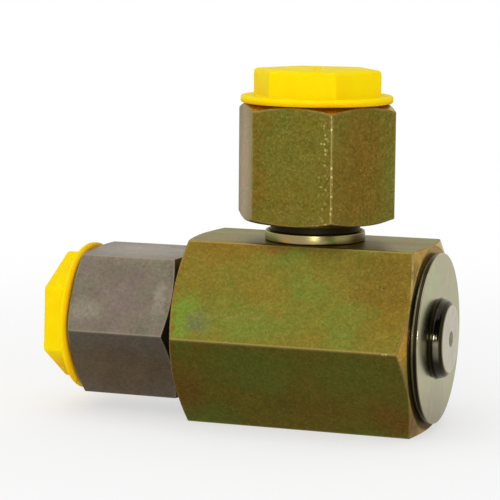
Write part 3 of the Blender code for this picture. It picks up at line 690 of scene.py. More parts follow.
# Where the plating's tint differs. A patch is its centre, its reach along X, Y and Z, its
# strength and the name of its colour. A sparkle is the same without a name: a place where
# bright grains are painted as glints of the flash.
BODY_PATCHES = (
    ((-0.0236, -0.0214, 0.0250), (0.0055, 0.0065, 0.0095), 1.00, "fresh_green"),
    ((-0.0194, -0.0214, 0.0246), (0.0040, 0.0040, 0.0040), 1.00, "grey_olive"),
    ((-0.0160, -0.0126, 0.0392), (0.0160, 0.0050, 0.0050), 0.55, "amber"),
    ((0.0235, -0.0156, 0.0340), (0.0120, 0.0120, 0.0130), 0.75, "amber"),
    ((0.0062, -0.0190, 0.0290), (0.0120, 0.0070, 0.0080), 0.35, "leaf_green"),
    ((-0.0080, -0.0212, 0.0247), (0.0200, 0.0060, 0.0055), 0.75, "leaf_green"),
    ((-0.0275, -0.0205, 0.0205), (0.0024, 0.0600, 0.0600), 0.70, "amber"),
    ((-0.0240, -0.0165, 0.0080), (0.0060, 0.0090, 0.0100), 0.60, "red_brown"),
    ((0.0226, -0.0150, 0.0050), (0.0080, 0.0080, 0.0060), 0.60, "red_brown"),
    ((0.0030, -0.0150, 0.0060), (0.0150, 0.0060, 0.0040), 0.35, "red_brown"),
    ((-0.0080, -0.0210, 0.0160), (0.0180, 0.0060, 0.0090), 0.65, "leaf_green"),
    ((0.0150, -0.0200, 0.0150), (0.0140, 0.0060, 0.0090), 0.60, "leaf_green"),
    ((0.0264, -0.0215, 0.0115), (0.0022, 0.0070, 0.0110), 0.90, "olive"),
    ((0.0264, -0.0120, 0.0030), (0.0022, 0.0070, 0.0050), 0.80, "red_brown"),
    ((-0.0120, -0.0205, 0.0262), (0.0130, 0.0020, 0.0014), 0.35, "pale_gold"),
    # This row and the second after it make the top flat darker red-brown along its front edge and beside
    # the collar's foot.
    ((-0.0060, -0.0122, 0.0404), (0.0110, 0.0024, 0.0020), 0.65, "red_brown"),
    ((-0.0200, -0.0124, 0.0402), (0.0070, 0.0024, 0.0020), 0.55, "amber"),
    ((-0.0115, -0.0080, 0.0410), (0.0050, 0.0045, 0.0020), 0.60, "red_brown"),
    ((0.0190, -0.0030, 0.0412), (0.0120, 0.0130, 0.0030), 0.50, "deep_brown"),
    ((0.0190, -0.0150, 0.0345), (0.0120, 0.0090, 0.0100), 0.60, "deep_brown"),
)
# Painted highlight: bright grains at the body's front corner.
BODY_SPARKLE = ((0.0255, -0.0236, 0.0205), (0.0040, 0.0012, 0.0012), 0.5)
TOP_NUT_PATCHES = (
    ((0.0052, -0.0163, 0.0585), (0.0040, 0.0050, 0.0160), 0.40, "leaf_green"),
    ((-0.0050, -0.0160, 0.0560), (0.0070, 0.0050, 0.0140), 0.30, "amber"),
    ((-0.0142, -0.0075, 0.0585), (0.0100, 0.0100, 0.0240), 0.65, "rose"),
    ((0.0125, -0.0100, 0.0585), (0.0125, 0.0125, 0.0220), 0.75, "amber"),
    ((-0.0020, -0.0160, 0.0560), (0.0140, 0.0070, 0.0180), 0.55, "gold"),
    ((-0.0030, -0.0160, 0.0600), (0.0060, 0.0050, 0.0100), 0.35, "leaf_green"),
    ((0.0140, -0.0080, 0.0620), (0.0060, 0.0080, 0.0100), 0.45, "amber"),
    ((0.0182, -0.0014, 0.0560), (0.0032, 0.0036, 0.0160), 0.50, "leaf_green"),
    ((-0.0070, -0.0160, 0.0680), (0.0060, 0.0050, 0.0050), 0.45, "amber"),
    ((-0.0084, -0.0158, 0.0560), (0.0028, 0.0050, 0.0150), 0.55, "amber"),
)
# Painted glints: bright grains on the nut's corner that faces the flash.
TOP_NUT_SPARKLE = ((0.0066, -0.0162, 0.0595), (0.0018, 0.0030, 0.0175), 0.95)
STUB_PATCHES = (
    # Painted dark reflection: this row darkens the collar's right end for the dark room it would mirror.
    ((0.0108, -0.0020, 0.0420), (0.0034, 0.0070, 0.0040), 0.90, "stain"),
    ((-0.0080, -0.0080, 0.0420), (0.0050, 0.0060, 0.0040), 0.70, "collar_green"),
)
DISC_PATCHES = (
    ((0.0289, -0.0060, 0.0335), (0.0030, 0.0080, 0.0060), 0.75, "steel_green"),
    ((0.0289, -0.0030, 0.0300), (0.0030, 0.0070, 0.0030), 0.60, "steel_pink"),
    ((0.0289, -0.0040, 0.0060), (0.0030, 0.0120, 0.0100), 0.60, "steel_dull"),
)
SIDE_NUT_PATCHES = (
    ((-0.0490, -0.0160, 0.0245), (0.0060, 0.0050, 0.0035), 0.45, "zinc_pale"),
    ((-0.0318, -0.0145, 0.0280), (0.0020, 0.0060, 0.0070), 0.50, "zinc_pale"),
    # Painted light: this row makes the nut's whole top face paler, as light from above falls on it.
    ((-0.0410, 0.0, 0.0366), (0.0180, 0.0150, 0.0040), 0.90, "zinc_pale"),
    ((-0.0410, -0.0130, 0.0110), (0.0240, 0.0110, 0.0110), 0.95, "zinc_brown"),
    ((-0.0410, -0.0120, 0.0330), (0.0080, 0.0060, 0.0060), 0.30, "zinc_dark"),
)

# Where a finish changes: heights or radii from one to the other. A mask rises between them
# where the second is larger, and falls where it is smaller.
# Heights over which the painted shade on flat end faces fades.
END_SHADE_FADE_HEIGHT = (0.030, 0.037)
NECK_FOOT = (0.001, 0.0015)
NECK_TOP = (0.008, 0.006)
NECK_WIDTH = (COLLAR_RADIUS - 0.0006, JOURNAL_RADIUS + 0.0002)
BOSS_FACE_ENDS = (BOSS_FACE + 0.0007, BOSS_FACE + 0.0002)
BOSS_FOOT_ENDS = (BOSS_RADIUS + 0.0004, BOSS_RADIUS + 0.0001)
OUTSIDE_ENDS = (-HALF_LENGTH - 0.0003, -HALF_LENGTH - 0.0006)
SHOULDER_STARTS = (BOSS_FACE + 0.0006, BOSS_FACE + 0.0010)
SHOULDER_ENDS = (BOSS_FACE + 0.0021, BOSS_FACE + 0.0018)
DRILLING_MOUTH_ENDS = (CENTRE_MOUTH_RADIUS + 0.0001, CENTRE_MOUTH_RADIUS)
DRILLING_ENDS = (0.0021, 0.0019)
PLUG_CONTACT_SHADE_ENDS = (0.0012, 0.0004)
SHADOW_FADE = (0.06, 0.3)

# Places with a centre and a reach along X, Y and Z: the painted highlight on the body's
# chamfer, the painted highlight on the spindle's shoulder, the floor that bright faces see dim,
# and where little light gets to the plugs, which is painted shade
CHAMFER_HIGHLIGHT = ((0.0262, -0.0154, 0.0350), (0.0050, 0.0085, 0.0110))
SHOULDER_HIGHLIGHT_SPOT = ((0.0309, -0.0080, 0.0196), (0.0030, 0.0036, 0.0036))
DIM_FLOOR = ((-0.01, -0.045, 0.0), (0.12, 0.12, 0.12))
SIDE_PLUG_SHADE = ((-0.0575, -0.0060, 0.0070), (0.0080, 0.0140, 0.0080))
TOP_PLUG_SHADE = ((0.0, 0.0, 0.0715), (0.0200, 0.0200, 0.0010))

# How much single crystals differ, how far a pattern is drawn out along a bar, and how much of
# its reach a near place fills evenly
BODY_CONTRAST = 0.42
TOP_NUT_CONTRAST = 0.58
DRAWN_OUT = 0.12
NEAR_CORE = 0.25

# Sockets of the Principled BSDF that may be given a plain colour
COLOUR_SOCKETS = {"Base Color", "Specular Tint"}


class Wire:
    """A value that runs between nodes. Its operators add Math nodes.

    A sum or a product is the same both ways round, so its reflected form is its own.
    """

    def __init__(self, finish, socket):
        self.finish = finish
        self.socket = socket

    def math(self, operation, first, second):
        """A Math node on two values."""
        return self.finish.add("ShaderNodeMath", {"operation": operation}, {0: first, 1: second})

    def __add__(self, other):
        return self.math("ADD", self, other)

    __radd__ = __add__

    def __sub__(self, other):
        return self.math("SUBTRACT", self, other)

    def __rsub__(self, other):
        return self.math("SUBTRACT", other, self)

    def __mul__(self, other):
        return self.math("MULTIPLY", self, other)

    __rmul__ = __mul__


class Finish:
    """A material, or the world, while its nodes are being put together."""

    def __init__(self, name, library="materials"):
        self.owner = getattr(bpy.data, library).new(name)
        self.owner.use_nodes = True
        self.tree = self.owner.node_tree
        self.tree.nodes.clear()

    def add(self, kind, settings=None, inputs=None, output=0):
        """Add a node: its settings first, then its sockets' values or links. Returns one output."""
        node = self.tree.nodes.new(kind)
        for key, value in (settings or {}).items():
            if key == "stops":
                self.set_stops(node.color_ramp, value)
            else:
                setattr(node, key, value)
        for key, value in (inputs or {}).items():
            if isinstance(value, Wire):
                self.tree.links.new(value.socket, node.inputs[key])
            else:
                node.inputs[key].default_value = value
        return Wire(self, node.outputs[output]) if node.outputs else None

    def set_stops(self, ramp, stops):
        """Give a colour ramp its stops, each a place and a colour."""
        while len(ramp.elements) < len(stops):
            ramp.elements.new(1.0)
        for element, (place, colour) in zip(ramp.elements, stops):
            element.position = place
            element.color = opaque(colour)

    def ramp(self, value, *stops):
        """A colour that follows a value through its stops."""
        return self.add("ShaderNodeValToRGB", {"stops": stops}, {0: value})

    def place(self):
        """The point on the surface, in metres."""
        return self.add("ShaderNodeTexCoord", output="Object")

    def noise(self, place, scale, detail=2.0, roughness=0.5, distortion=0.0, output=0):
        """Noise whose features are about one over scale in size."""
        values = {
            "Vector": place,
            "Scale": scale,
            "Detail": detail,
            "Roughness": roughness,
            "Distortion": distortion,
        }
        return self.add("ShaderNodeTexNoise", None, values, output)

    def vector(self, operation, first, second=(0.0, 0.0, 0.0)):
        """A Vector Math node, with its number or its vector as the operation gives."""
        output = "Value" if operation in ("LENGTH", "DOT_PRODUCT") else "Vector"
        return self.add("ShaderNodeVectorMath", {"operation": operation}, {0: first, 1: second}, output)

    def parts(self, vector):
        """The X, Y and Z of a vector."""
        first = self.add("ShaderNodeSeparateXYZ", None, {0: vector})
        return [Wire(self, socket) for socket in first.socket.node.outputs]

    def band(self, value, start, end):
        """0 up to start, 1 from end and smooth between, or falling where end is the lower."""
        settings = {"interpolation_type": "SMOOTHSTEP"}
        inputs = {"Value": value, "From Min": start, "From Max": end}
        return self.add("ShaderNodeMapRange", settings, inputs)

    def mix(self, factor, first, second):
        """A colour between two others."""
        inputs = {0: factor, 6: opaque(first), 7: opaque(second)}
        return self.add("ShaderNodeMix", {"data_type": "RGBA"}, inputs, 2)

    def layered(self, colour, *layers):
        """A colour with others laid over it one by one, each a mask and a colour."""
        for mask, other in layers:
            colour = self.mix(mask, colour, other)
        return colour

    def patched(self, colour, place, colours, patches):
        """A colour with patches over it, each a centre, a reach, a strength and a colour's name."""
        for centre, reach, strength, name in patches:
            colour = self.mix(self.near(place, centre, reach) * strength, colour, getattr(colours, name))
        return colour

    def shaded(self, colour, value):
        """A colour made darker or lighter by a factor."""
        return self.add("ShaderNodeHueSaturation", None, {"Value": value, "Color": colour})

    def grey(self, level):
        """A grey of a given level."""
        return self.add("ShaderNodeCombineColor", None, {0: level, 1: level, 2: level})

    def ray(self, kind):
        """1 for rays of a kind, such as Camera, Glossy or Transmission."""
        return self.add("ShaderNodeLightPath", output=f"Is {kind} Ray")

    def mark(self, name):
        """A number that the mesh carries: edge_wear on its edges, end_facing on its turned ends."""
        return self.add("ShaderNodeAttribute", {"attribute_name": name}, None, 2)

    def near(self, place, centre, reach):
        """1 round a point, falling smoothly to 0 at its reach along X, Y and Z."""
        offset = self.vector("SUBTRACT", place, centre)
        scaled = self.vector("MULTIPLY", offset, tuple(1.0 / length for length in reach))
        return self.band(self.vector("LENGTH", scaled), 1.0, NEAR_CORE)

    def dots(self, place, scale, radius):
        """Round grains about one over scale apart: 1 inside, 0 beyond their radius."""
        inputs = {"Vector": place, "Scale": scale}
        distance = self.add("ShaderNodeTexVoronoi", None, inputs, "Distance")
        return self.band(distance, radius, 0.5 * radius)

    def grains(self, place, scale):
        """Three random numbers for each of the small crystals that fill the surface."""
        inputs = {"Vector": place, "Scale": scale}
        return self.parts(self.add("ShaderNodeTexVoronoi", None, inputs, "Color"))

    def drawn(self, place, axis):
        """The place on drawn bar, scaled so that a pattern is long in the bar's direction."""
        scale = tuple(np.where(axis.along, DRAWN_OUT, 1.0))
        return self.add("ShaderNodeMapping", None, {"Vector": place, "Scale": scale})

    def wobbled(self, place, scale, distance):
        """The place, shifted by noise, so that what is drawn with it has an irregular edge."""
        shift = self.noise(place, scale, detail=3.0, output="Color")
        centred = self.vector("SUBTRACT", shift, (0.5, 0.5, 0.5))
        return self.vector("ADD", place, self.vector("MULTIPLY", centred, (distance,) * 3))

    def turning_place(self, place, axis):
        """(height along an axis, distance from it, 0): the place that turning marks follow."""
        from_axis = self.vector("SUBTRACT", place, tuple(axis.origin))
        along = self.vector("DOT_PRODUCT", from_axis, tuple(axis.along))
        across = self.vector("MULTIPLY", from_axis, tuple(1.0 - np.abs(axis.along)))
        radius = self.vector("LENGTH", across)
        return self.add("ShaderNodeCombineXYZ", None, {0: along, 1: radius, 2: 0.0})

    def bump(self, height, distance, strength):
        """Surface relief from a height of 0 to 1 over a distance in metres."""
        inputs = {"Height": height, "Distance": distance, "Strength": strength}
        return self.add("ShaderNodeBump", None, inputs)

    def surface(self, inputs):
        """Join a Principled BSDF to the output and return the material."""
        for key in COLOUR_SOCKETS & set(inputs):
            inputs[key] = opaque(inputs[key])
        shader = self.add("ShaderNodeBsdfPrincipled", None, inputs)
        self.add("ShaderNodeOutputMaterial", None, {"Surface": shader})
        return self.owner


def opaque(colour):
    """A colour with full alpha, or a wire as it is."""
    return colour if isinstance(colour, Wire) else (*tuple(colour)[:3], 1.0)


def yellow_zinc(finish_name, colours, axis, patches, sparkling, contrast):
    """Yellow passivated zinc on drawn hexagon bar: olive and gold, with green and amber patches.

    Bright grains, painted as glints of the flash, lie round the sparkling place, which is a centre, a
    reach and a strength.
    The contrast says how much the single crystals differ.
    """
    finish = Finish(finish_name)
    place = finish.place()
    cloud = finish.noise(place, 70.0, detail=3.0, roughness=0.55, distortion=0.6)
    blotch = finish.noise(place, 340.0, detail=3.0, roughness=0.6)
    drift = finish.noise(finish.drawn(place, axis), 260.0, detail=3.0, roughness=0.55)
    speck = finish.noise(place, 1300.0, detail=2.0, roughness=0.6)
    grain = finish.noise(place, 2600.0, detail=1.0, roughness=0.5)
    tone, tint, blush = finish.grains(place, scale=2400.0)
    colour = finish.ramp(
        cloud * 0.6 + blotch * 0.16 + drift * 0.24,
        (0.40, colours.leaf_green),
        (0.50, colours.olive),
        (0.60, colours.gold),
        (0.74, colours.amber),
    )
    facing = finish.mark("end_facing")
    ends = finish.band(facing, 0.3, 0.7)
    # Painted highlight: the palest part of the body's chamfer is laid in light tan, with its edges worn
    # brighter, where the flash's light falls.
    pale = finish.near(place, *CHAMFER_HIGHLIGHT)
    colour = finish.layered(
        colour,
        (ends * finish.band(cloud + blotch, 0.6, 1.05) * 0.95, colours.turned_gold),
        (ends * pale * (0.4 + 0.5 * blotch), colours.warm_tan),
    )
    colour = finish.patched(colour, finish.wobbled(place, scale=420.0, distance=0.006), colours, patches)
    colour = finish.layered(
        colour,
        (finish.band(tint, 0.6, 1.0) * (0.6 * contrast), colours.pale_gold),
        (finish.band(tint, 0.4, 0.0) * (0.6 * contrast), colours.leaf_green),
        (finish.band(blush, 0.6, 1.0) * (0.45 * contrast), colours.amber),
    )
    uneven = 0.36 * contrast
    colour = finish.shaded(colour, 0.86 - uneven + 2.0 * uneven * tone + 0.34 * blotch)
    height = finish.parts(place)[2]
    # Painted shade: flat end faces are darkened with the stain colour for the shadow gap beside the
    # flange, most low down and less above the fade heights.
    painted_end_shade = finish.band(facing, 0.96, 0.99) * (0.85 - 0.55 * finish.band(height, *END_SHADE_FADE_HEIGHT))
    # Painted glints: bright grains round the sparkling place where the flash falls.
    centre, reach, strength = sparkling
    dots = finish.dots(place, scale=950.0, radius=0.38)
    painted_glints = finish.near(place, centre, reach) * dots * finish.band(grain + blotch, 0.8, 1.1)
    edge = finish.mark("edge_wear")
    chamfered = edge * finish.band(facing, 0.02, 0.15)
    # The chamfers' edges are worn a little everywhere, and brighter still in the painted highlight.
    bare_and_highlit = chamfered * (0.1 + 0.6 * pale) * finish.band(blotch, 0.3, 0.6)
    # Brighter dots on the edges round the sparkling place: painted glints in the worn edge's colour.
    wider = tuple(2.4 * length for length in reach)
    rubbed = edge * dots * finish.near(place, centre, wider) * strength
    colour = finish.layered(
        colour,
        (finish.band(blotch + speck * 0.4, 0.9, 0.98) * 0.45, colours.stain),
        (painted_end_shade, colours.stain),
        (painted_glints * strength, colours.sparkle),
        (edge * (0.3 + 0.6 * blotch), colours.edge_tan),
        (bare_and_highlit, colours.worn_edge),
        (rubbed, colours.worn_edge),
    )
    return finish.surface({
        "Base Color": colour,
        "Metallic": 1.0,
        "Specular Tint": (1.0, 0.96, 0.86),
        "Roughness": 0.36 + 0.14 * drift - 0.12 * ends + 0.3 * painted_end_shade + 0.3 * chamfered,
        "Normal": finish.bump(grain * 0.4 + speck * 0.3 + tone * 0.3, distance=0.00002, strength=0.5),
    })


def polished_zinc(finish_name, colours, axis, patches):
    """Yellow passivated zinc on bright turned steel, with painted shadow on the neck above the collar.
    """
    finish = Finish(finish_name)
    place = finish.place()
    turning = finish.turning_place(place, axis)
    height, radius, _ = finish.parts(turning)
    marks = finish.noise(turning, 4200.0, detail=2.0, roughness=0.6)
    cloud = finish.noise(place, 150.0, detail=2.0, roughness=0.5, distortion=0.4)
    colour = finish.ramp(
        cloud,
        (0.38, colours.collar_green),
        (0.48, colours.polished_gold),
        (0.56, colours.collar_pink),
        (0.66, colours.turned_gold),
    )
    # Painted shadow: the neck between the collar and the nut is coloured near black.
    neck = finish.band(height, *NECK_FOOT) * finish.band(height, *NECK_TOP)
    neck = neck * finish.band(radius, *NECK_WIDTH)
    colour = finish.layered(
        finish.patched(colour, place, colours, patches),
        (finish.mark("edge_wear") * 0.4, colours.worn_edge),
        (neck * 0.97, colours.shadowed),
    )
    return finish.surface({
        "Base Color": colour,
        "Metallic": 1.0,
        "Specular Tint": (1.0, 0.94, 0.8),
        "Roughness": 0.24 + 0.12 * marks + 0.2 * neck,
        "Normal": finish.bump(marks, distance=0.000005, strength=0.6),
    })


def plain_zinc(finish_name, colours, axis, patches):
    """Clear passivated zinc: satin grey-brown, faintly purple and green, with pale smudges."""
    finish = Finish(finish_name)
    place = finish.place()
    cloud = finish.noise(place, 110.0, detail=3.0, roughness=0.6, distortion=0.6)
    smudge = finish.noise(place, 170.0, detail=3.0, roughness=0.6, distortion=1.0)
    drift = finish.noise(finish.drawn(place, axis), 240.0, detail=3.0, roughness=0.5)
    speck = finish.noise(place, 1300.0, detail=2.0, roughness=0.6)
    tone, _, _ = finish.grains(place, scale=2300.0)
    colour = finish.ramp(
        cloud * 0.65 + drift * 0.35,
        (0.32, colours.zinc_green),
        (0.5, colours.zinc_grey),
        (0.62, colours.zinc_purple),
    )
    colour = finish.patched(colour, finish.wobbled(place, scale=420.0, distance=0.006), colours, patches)
    ends = finish.band(finish.mark("end_facing"), 0.3, 0.7)
    colour = finish.mix(ends * 0.3, colour, colours.zinc_edge)
    colour = finish.shaded(colour, 0.5 + 0.5 * smudge + 0.26 * speck + 0.24 * tone)
    worn = finish.mark("edge_wear") * (0.15 + 0.5 * cloud)
    return finish.surface({
        "Base Color": finish.mix(worn, colour, colours.zinc_edge),
        "Metallic": 1.0,
        "Specular Tint": (1.0, 0.98, 0.96),
        "Roughness": 0.36 + 0.14 * drift,
        "Normal": finish.bump(tone * 0.4 + speck * 0.6, distance=0.000015, strength=0.5),
    })


def turned_steel(finish_name, colours, axis, patches):
    """Turned and plated steel: pale end faces, fine marks round the axis, and painted dark reflection on
    the polished sides and the disc round the boss's foot.
    """
    finish = Finish(finish_name)
    place = finish.place()
    turning = finish.turning_place(place, axis)
    height, radius, _ = finish.parts(turning)
    marks = finish.noise(turning, 5200.0, detail=2.0, roughness=0.6)
    cloud = finish.noise(place, 95.0, detail=3.0, roughness=0.5, distortion=0.5)
    blotch = finish.noise(place, 420.0, detail=2.0, roughness=0.5)
    colour = finish.ramp(
        cloud * 0.75 + blotch * 0.25,
        (0.34, colours.steel_green),
        (0.5, colours.steel),
        (0.66, colours.steel_pink),
    )
    colour = finish.patched(colour, finish.wobbled(place, scale=300.0, distance=0.004), colours, patches)
    on_boss = finish.band(height, *BOSS_FACE_ENDS)
    handled = finish.band(blotch * 0.6 + cloud * 0.4, 0.42, 0.62)
    colour = finish.layered(
        colour,
        (on_boss, colours.boss_face),
        (on_boss * handled * 0.55, colours.boss_stain),
    )
    colour = finish.shaded(colour, 0.66 + 0.36 * cloud + 0.32 * blotch)
    # Painted dark reflection: the polished sides outside the body, and the disc round the boss's foot,
    # are coloured near black for the dark room they would mirror.
    side = finish.band(finish.mark("end_facing"), 0.95, 0.88)
    outside = finish.band(height, *OUTSIDE_ENDS)
    painted_boss_reflection = finish.band(radius, *BOSS_FOOT_ENDS) * (1.0 - on_boss)
    dark = finish.band(side + painted_boss_reflection, 0.0, 1.0) * outside
    shoulder = finish.band(height, *SHOULDER_STARTS) * finish.band(height, *SHOULDER_ENDS)
    # Painted highlight: the shoulder's front is mixed to lighter steel where the flash's glint falls,
    # like a rubbed spot.
    rubbed = shoulder * finish.near(place, *SHOULDER_HIGHLIGHT_SPOT)
    mouth = on_boss * finish.band(radius, *DRILLING_MOUTH_ENDS)
    inside = outside * finish.band(radius, *DRILLING_ENDS) * (1.0 - on_boss)
    drilled = mouth + inside
    colour = finish.layered(
        colour,
        (dark, colours.dark_side),
        (rubbed * 0.6, colours.steel),
        (drilled, colours.drilling),
        (finish.mark("edge_wear") * 0.6 * (1.0 - drilled), colours.steel_edge),
    )
    return finish.surface({
        "Base Color": colour,
        "Metallic": 1.0 - 0.9 * drilled,
        "Specular Tint": (0.9, 0.88, 0.8),
        "Roughness": 0.12 + 0.10 * marks + 0.3 * drilled - 0.05 * shoulder,
        "Coat Weight": side * shoulder * (1.0 - drilled) * (0.35 + 0.3 * rubbed),
        "Coat Roughness": 0.08,
        "Normal": finish.bump(marks, distance=0.0000012, strength=0.5),
    })


def plain_metal(finish_name, colour, stain_colour, roughness):
    """A plain turned metal, such as bronze or spring steel, with tool marks and faint stains."""
    finish = Finish(finish_name)
    place = finish.place()
    marks = finish.noise(finish.turning_place(place, SWIVEL), 4200.0, detail=2.0, roughness=0.6)
    stain = finish.noise(place, 260.0, detail=3.0, roughness=0.55)
    return finish.surface({
        "Base Color": finish.mix(finish.band(stain, 0.4, 0.7) * 0.7, colour, stain_colour),
        "Metallic": 1.0,
        "Roughness": roughness + 0.12 * marks,
        "Normal": finish.bump(marks, distance=0.000008, strength=0.6),
    })


def seal_stuff(finish_name, colour, bloom_colour, roughness, relief):
    """Rubber or fluoroplastic: even colour, a fine moulded grain and a little bloom."""
    finish = Finish(finish_name)
    place = finish.place()
    grain = finish.noise(place, 3800.0, detail=3.0, roughness=0.6)
    bloom = finish.noise(place, 400.0, detail=3.0, roughness=0.5)
    return finish.surface({
        "Base Color": finish.mix(finish.band(bloom, 0.45, 0.75) * 0.5, colour, bloom_colour),
        "Roughness": roughness + 0.12 * grain,
        "Normal": finish.bump(grain, relief, strength=0.5),
    })


def yellow_plastic(finish_name, colours, axis, face, shade):
    """Moulded polyethylene: saturated yellow, with painted shade where the flange sits on the nut's
    face.

    Faint flow marks and light scuffs lie over it. The shade, a place of painted shade where little light
    gets to the plug, is a centre and a reach.
    """
    finish = Finish(finish_name)
    place = finish.place()
    height = finish.parts(finish.turning_place(place, axis))[0]
    flow = finish.noise(place, 160.0, detail=3.0, roughness=0.5, distortion=0.8)
    grain = finish.noise(place, 2200.0, detail=3.0, roughness=0.6)
    scuff = finish.noise(place, 900.0, detail=4.0, roughness=0.7, distortion=0.5)
    root_end, root_start = PLUG_CONTACT_SHADE_ENDS
    root = finish.band(height, face + root_end, face + root_start)
    colour = finish.layered(
        colours.plug_yellow,
        (finish.band(flow, 0.35, 0.7) * 0.6, colours.plug_orange),
        (finish.band(scuff, 0.62, 0.75) * 0.35, colours.plug_pale),
        (root * 0.75, colours.plug_root),
        (finish.near(place, *shade) * 0.7, colours.plug_root),
    )
    return finish.surface({
        "Base Color": colour,
        "Roughness": 0.46 + 0.12 * grain,
        "Specular IOR Level": 0.03,
        "Subsurface Weight": 0.3,
        "Subsurface Radius": (0.004, 0.002, 0.0005),
        "Subsurface Scale": 0.5,
        "Normal": finish.bump(flow * 0.7 + grain * 0.3, distance=0.00003, strength=0.35),
    })


def floor_finish(colours):
    """White paper that keeps its shadows. What mirrors it sees it dim under the fitting."""
    finish = Finish("white_floor")
    place = finish.place()
    texture = finish.noise(place, 40.0, detail=2.0, roughness=0.5)
    colour = finish.mix(texture * 0.1, colours.floor, colours.floor_shade)
    paper = finish.add("ShaderNodeBsdfDiffuse", None, {"Color": colour})
    mirrored = finish.ray("Glossy")
    white = 1.0 - mirrored * (0.12 + 0.47 * finish.near(place, *DIM_FLOOR))
    inputs = {"Color": finish.grey(white), "Strength": 1.0}
    glow = finish.add("ShaderNodeEmission", None, inputs)
    away = finish.band(finish.vector("LENGTH", place), *SHADOW_FADE)
    share = (finish.ray("Camera") + finish.ray("Transmission")) * (0.58 + 0.42 * away) + mirrored
    mixed = finish.add("ShaderNodeMixShader", None, {0: share, 1: paper, 2: glow})
    finish.add("ShaderNodeOutputMaterial", None, {"Surface": mixed})
    return finish.owner


def white_studio():
    """A studio that is white to the eye and in bright faces, but dark to the viewer's right."""
    sky = Finish("studio", "worlds")
    x, y, _ = sky.parts(sky.add("ShaderNodeTexCoord", output="Generated"))
    dark_room = sky.band(x, 0.0, 0.2) * sky.band(x, 0.95, 0.8) * sky.band(y, 0.35, -0.1)
    level = 0.72 + sky.ray("Glossy") * (0.2 - 0.87 * dark_room)
    colour = sky.mix(sky.ray("Camera"), sky.grey(level), (1.0, 1.0, 1.0))
    light = sky.add("ShaderNodeBackground", None, {"Color": colour, "Strength": 1.0})
    sky.add("ShaderNodeOutputWorld", None, {"Surface": light})
    return sky.owner


def length(label, description, size):
    """A length that a user may change, in metres."""
    return FloatProperty(name=label, description=description, default=size, unit="LENGTH")


class FittingShape(bpy.types.PropertyGroup):
    """Sizes that a user of the finished fitting may change."""

    edge_round: length("Edge rounding", "Rounding of the chamfers' edges", 0.00022)
    body_corner_round: length("Body corners", "Radius of the body bar's corners", 0.0005)
    nut_corner_round: length("Nut corners", "Radius of the nuts' corners", 0.0004)
    disc_edge_round: length("Disc edge", "Rounding of the spindle flange's rim", 0.00015)
    collar_edge_round: length("Collar edge", "Rounding of the stub collar's rim", 0.0003)
    plug_round: length("Plug corners", "Rounding of the plugs' heads", 0.0011)
    plug_flange_round: length("Plug flange", "Rounding of the plugs' flanges", 0.0006)
    thread_pitch: length("Thread pitch", "Pitch of the nuts' and plugs' threads", 0.0015)
    thread_depth: length("Thread depth", "Depth of the nuts' threads", 0.0008)


def swatch(label, description, colour):
    """A colour that a user may change, in linear light."""
    return FloatVectorProperty(
        name=label, description=description, default=colour, size=3, min=0.0, max=1.0, subtype="COLOR"
    )


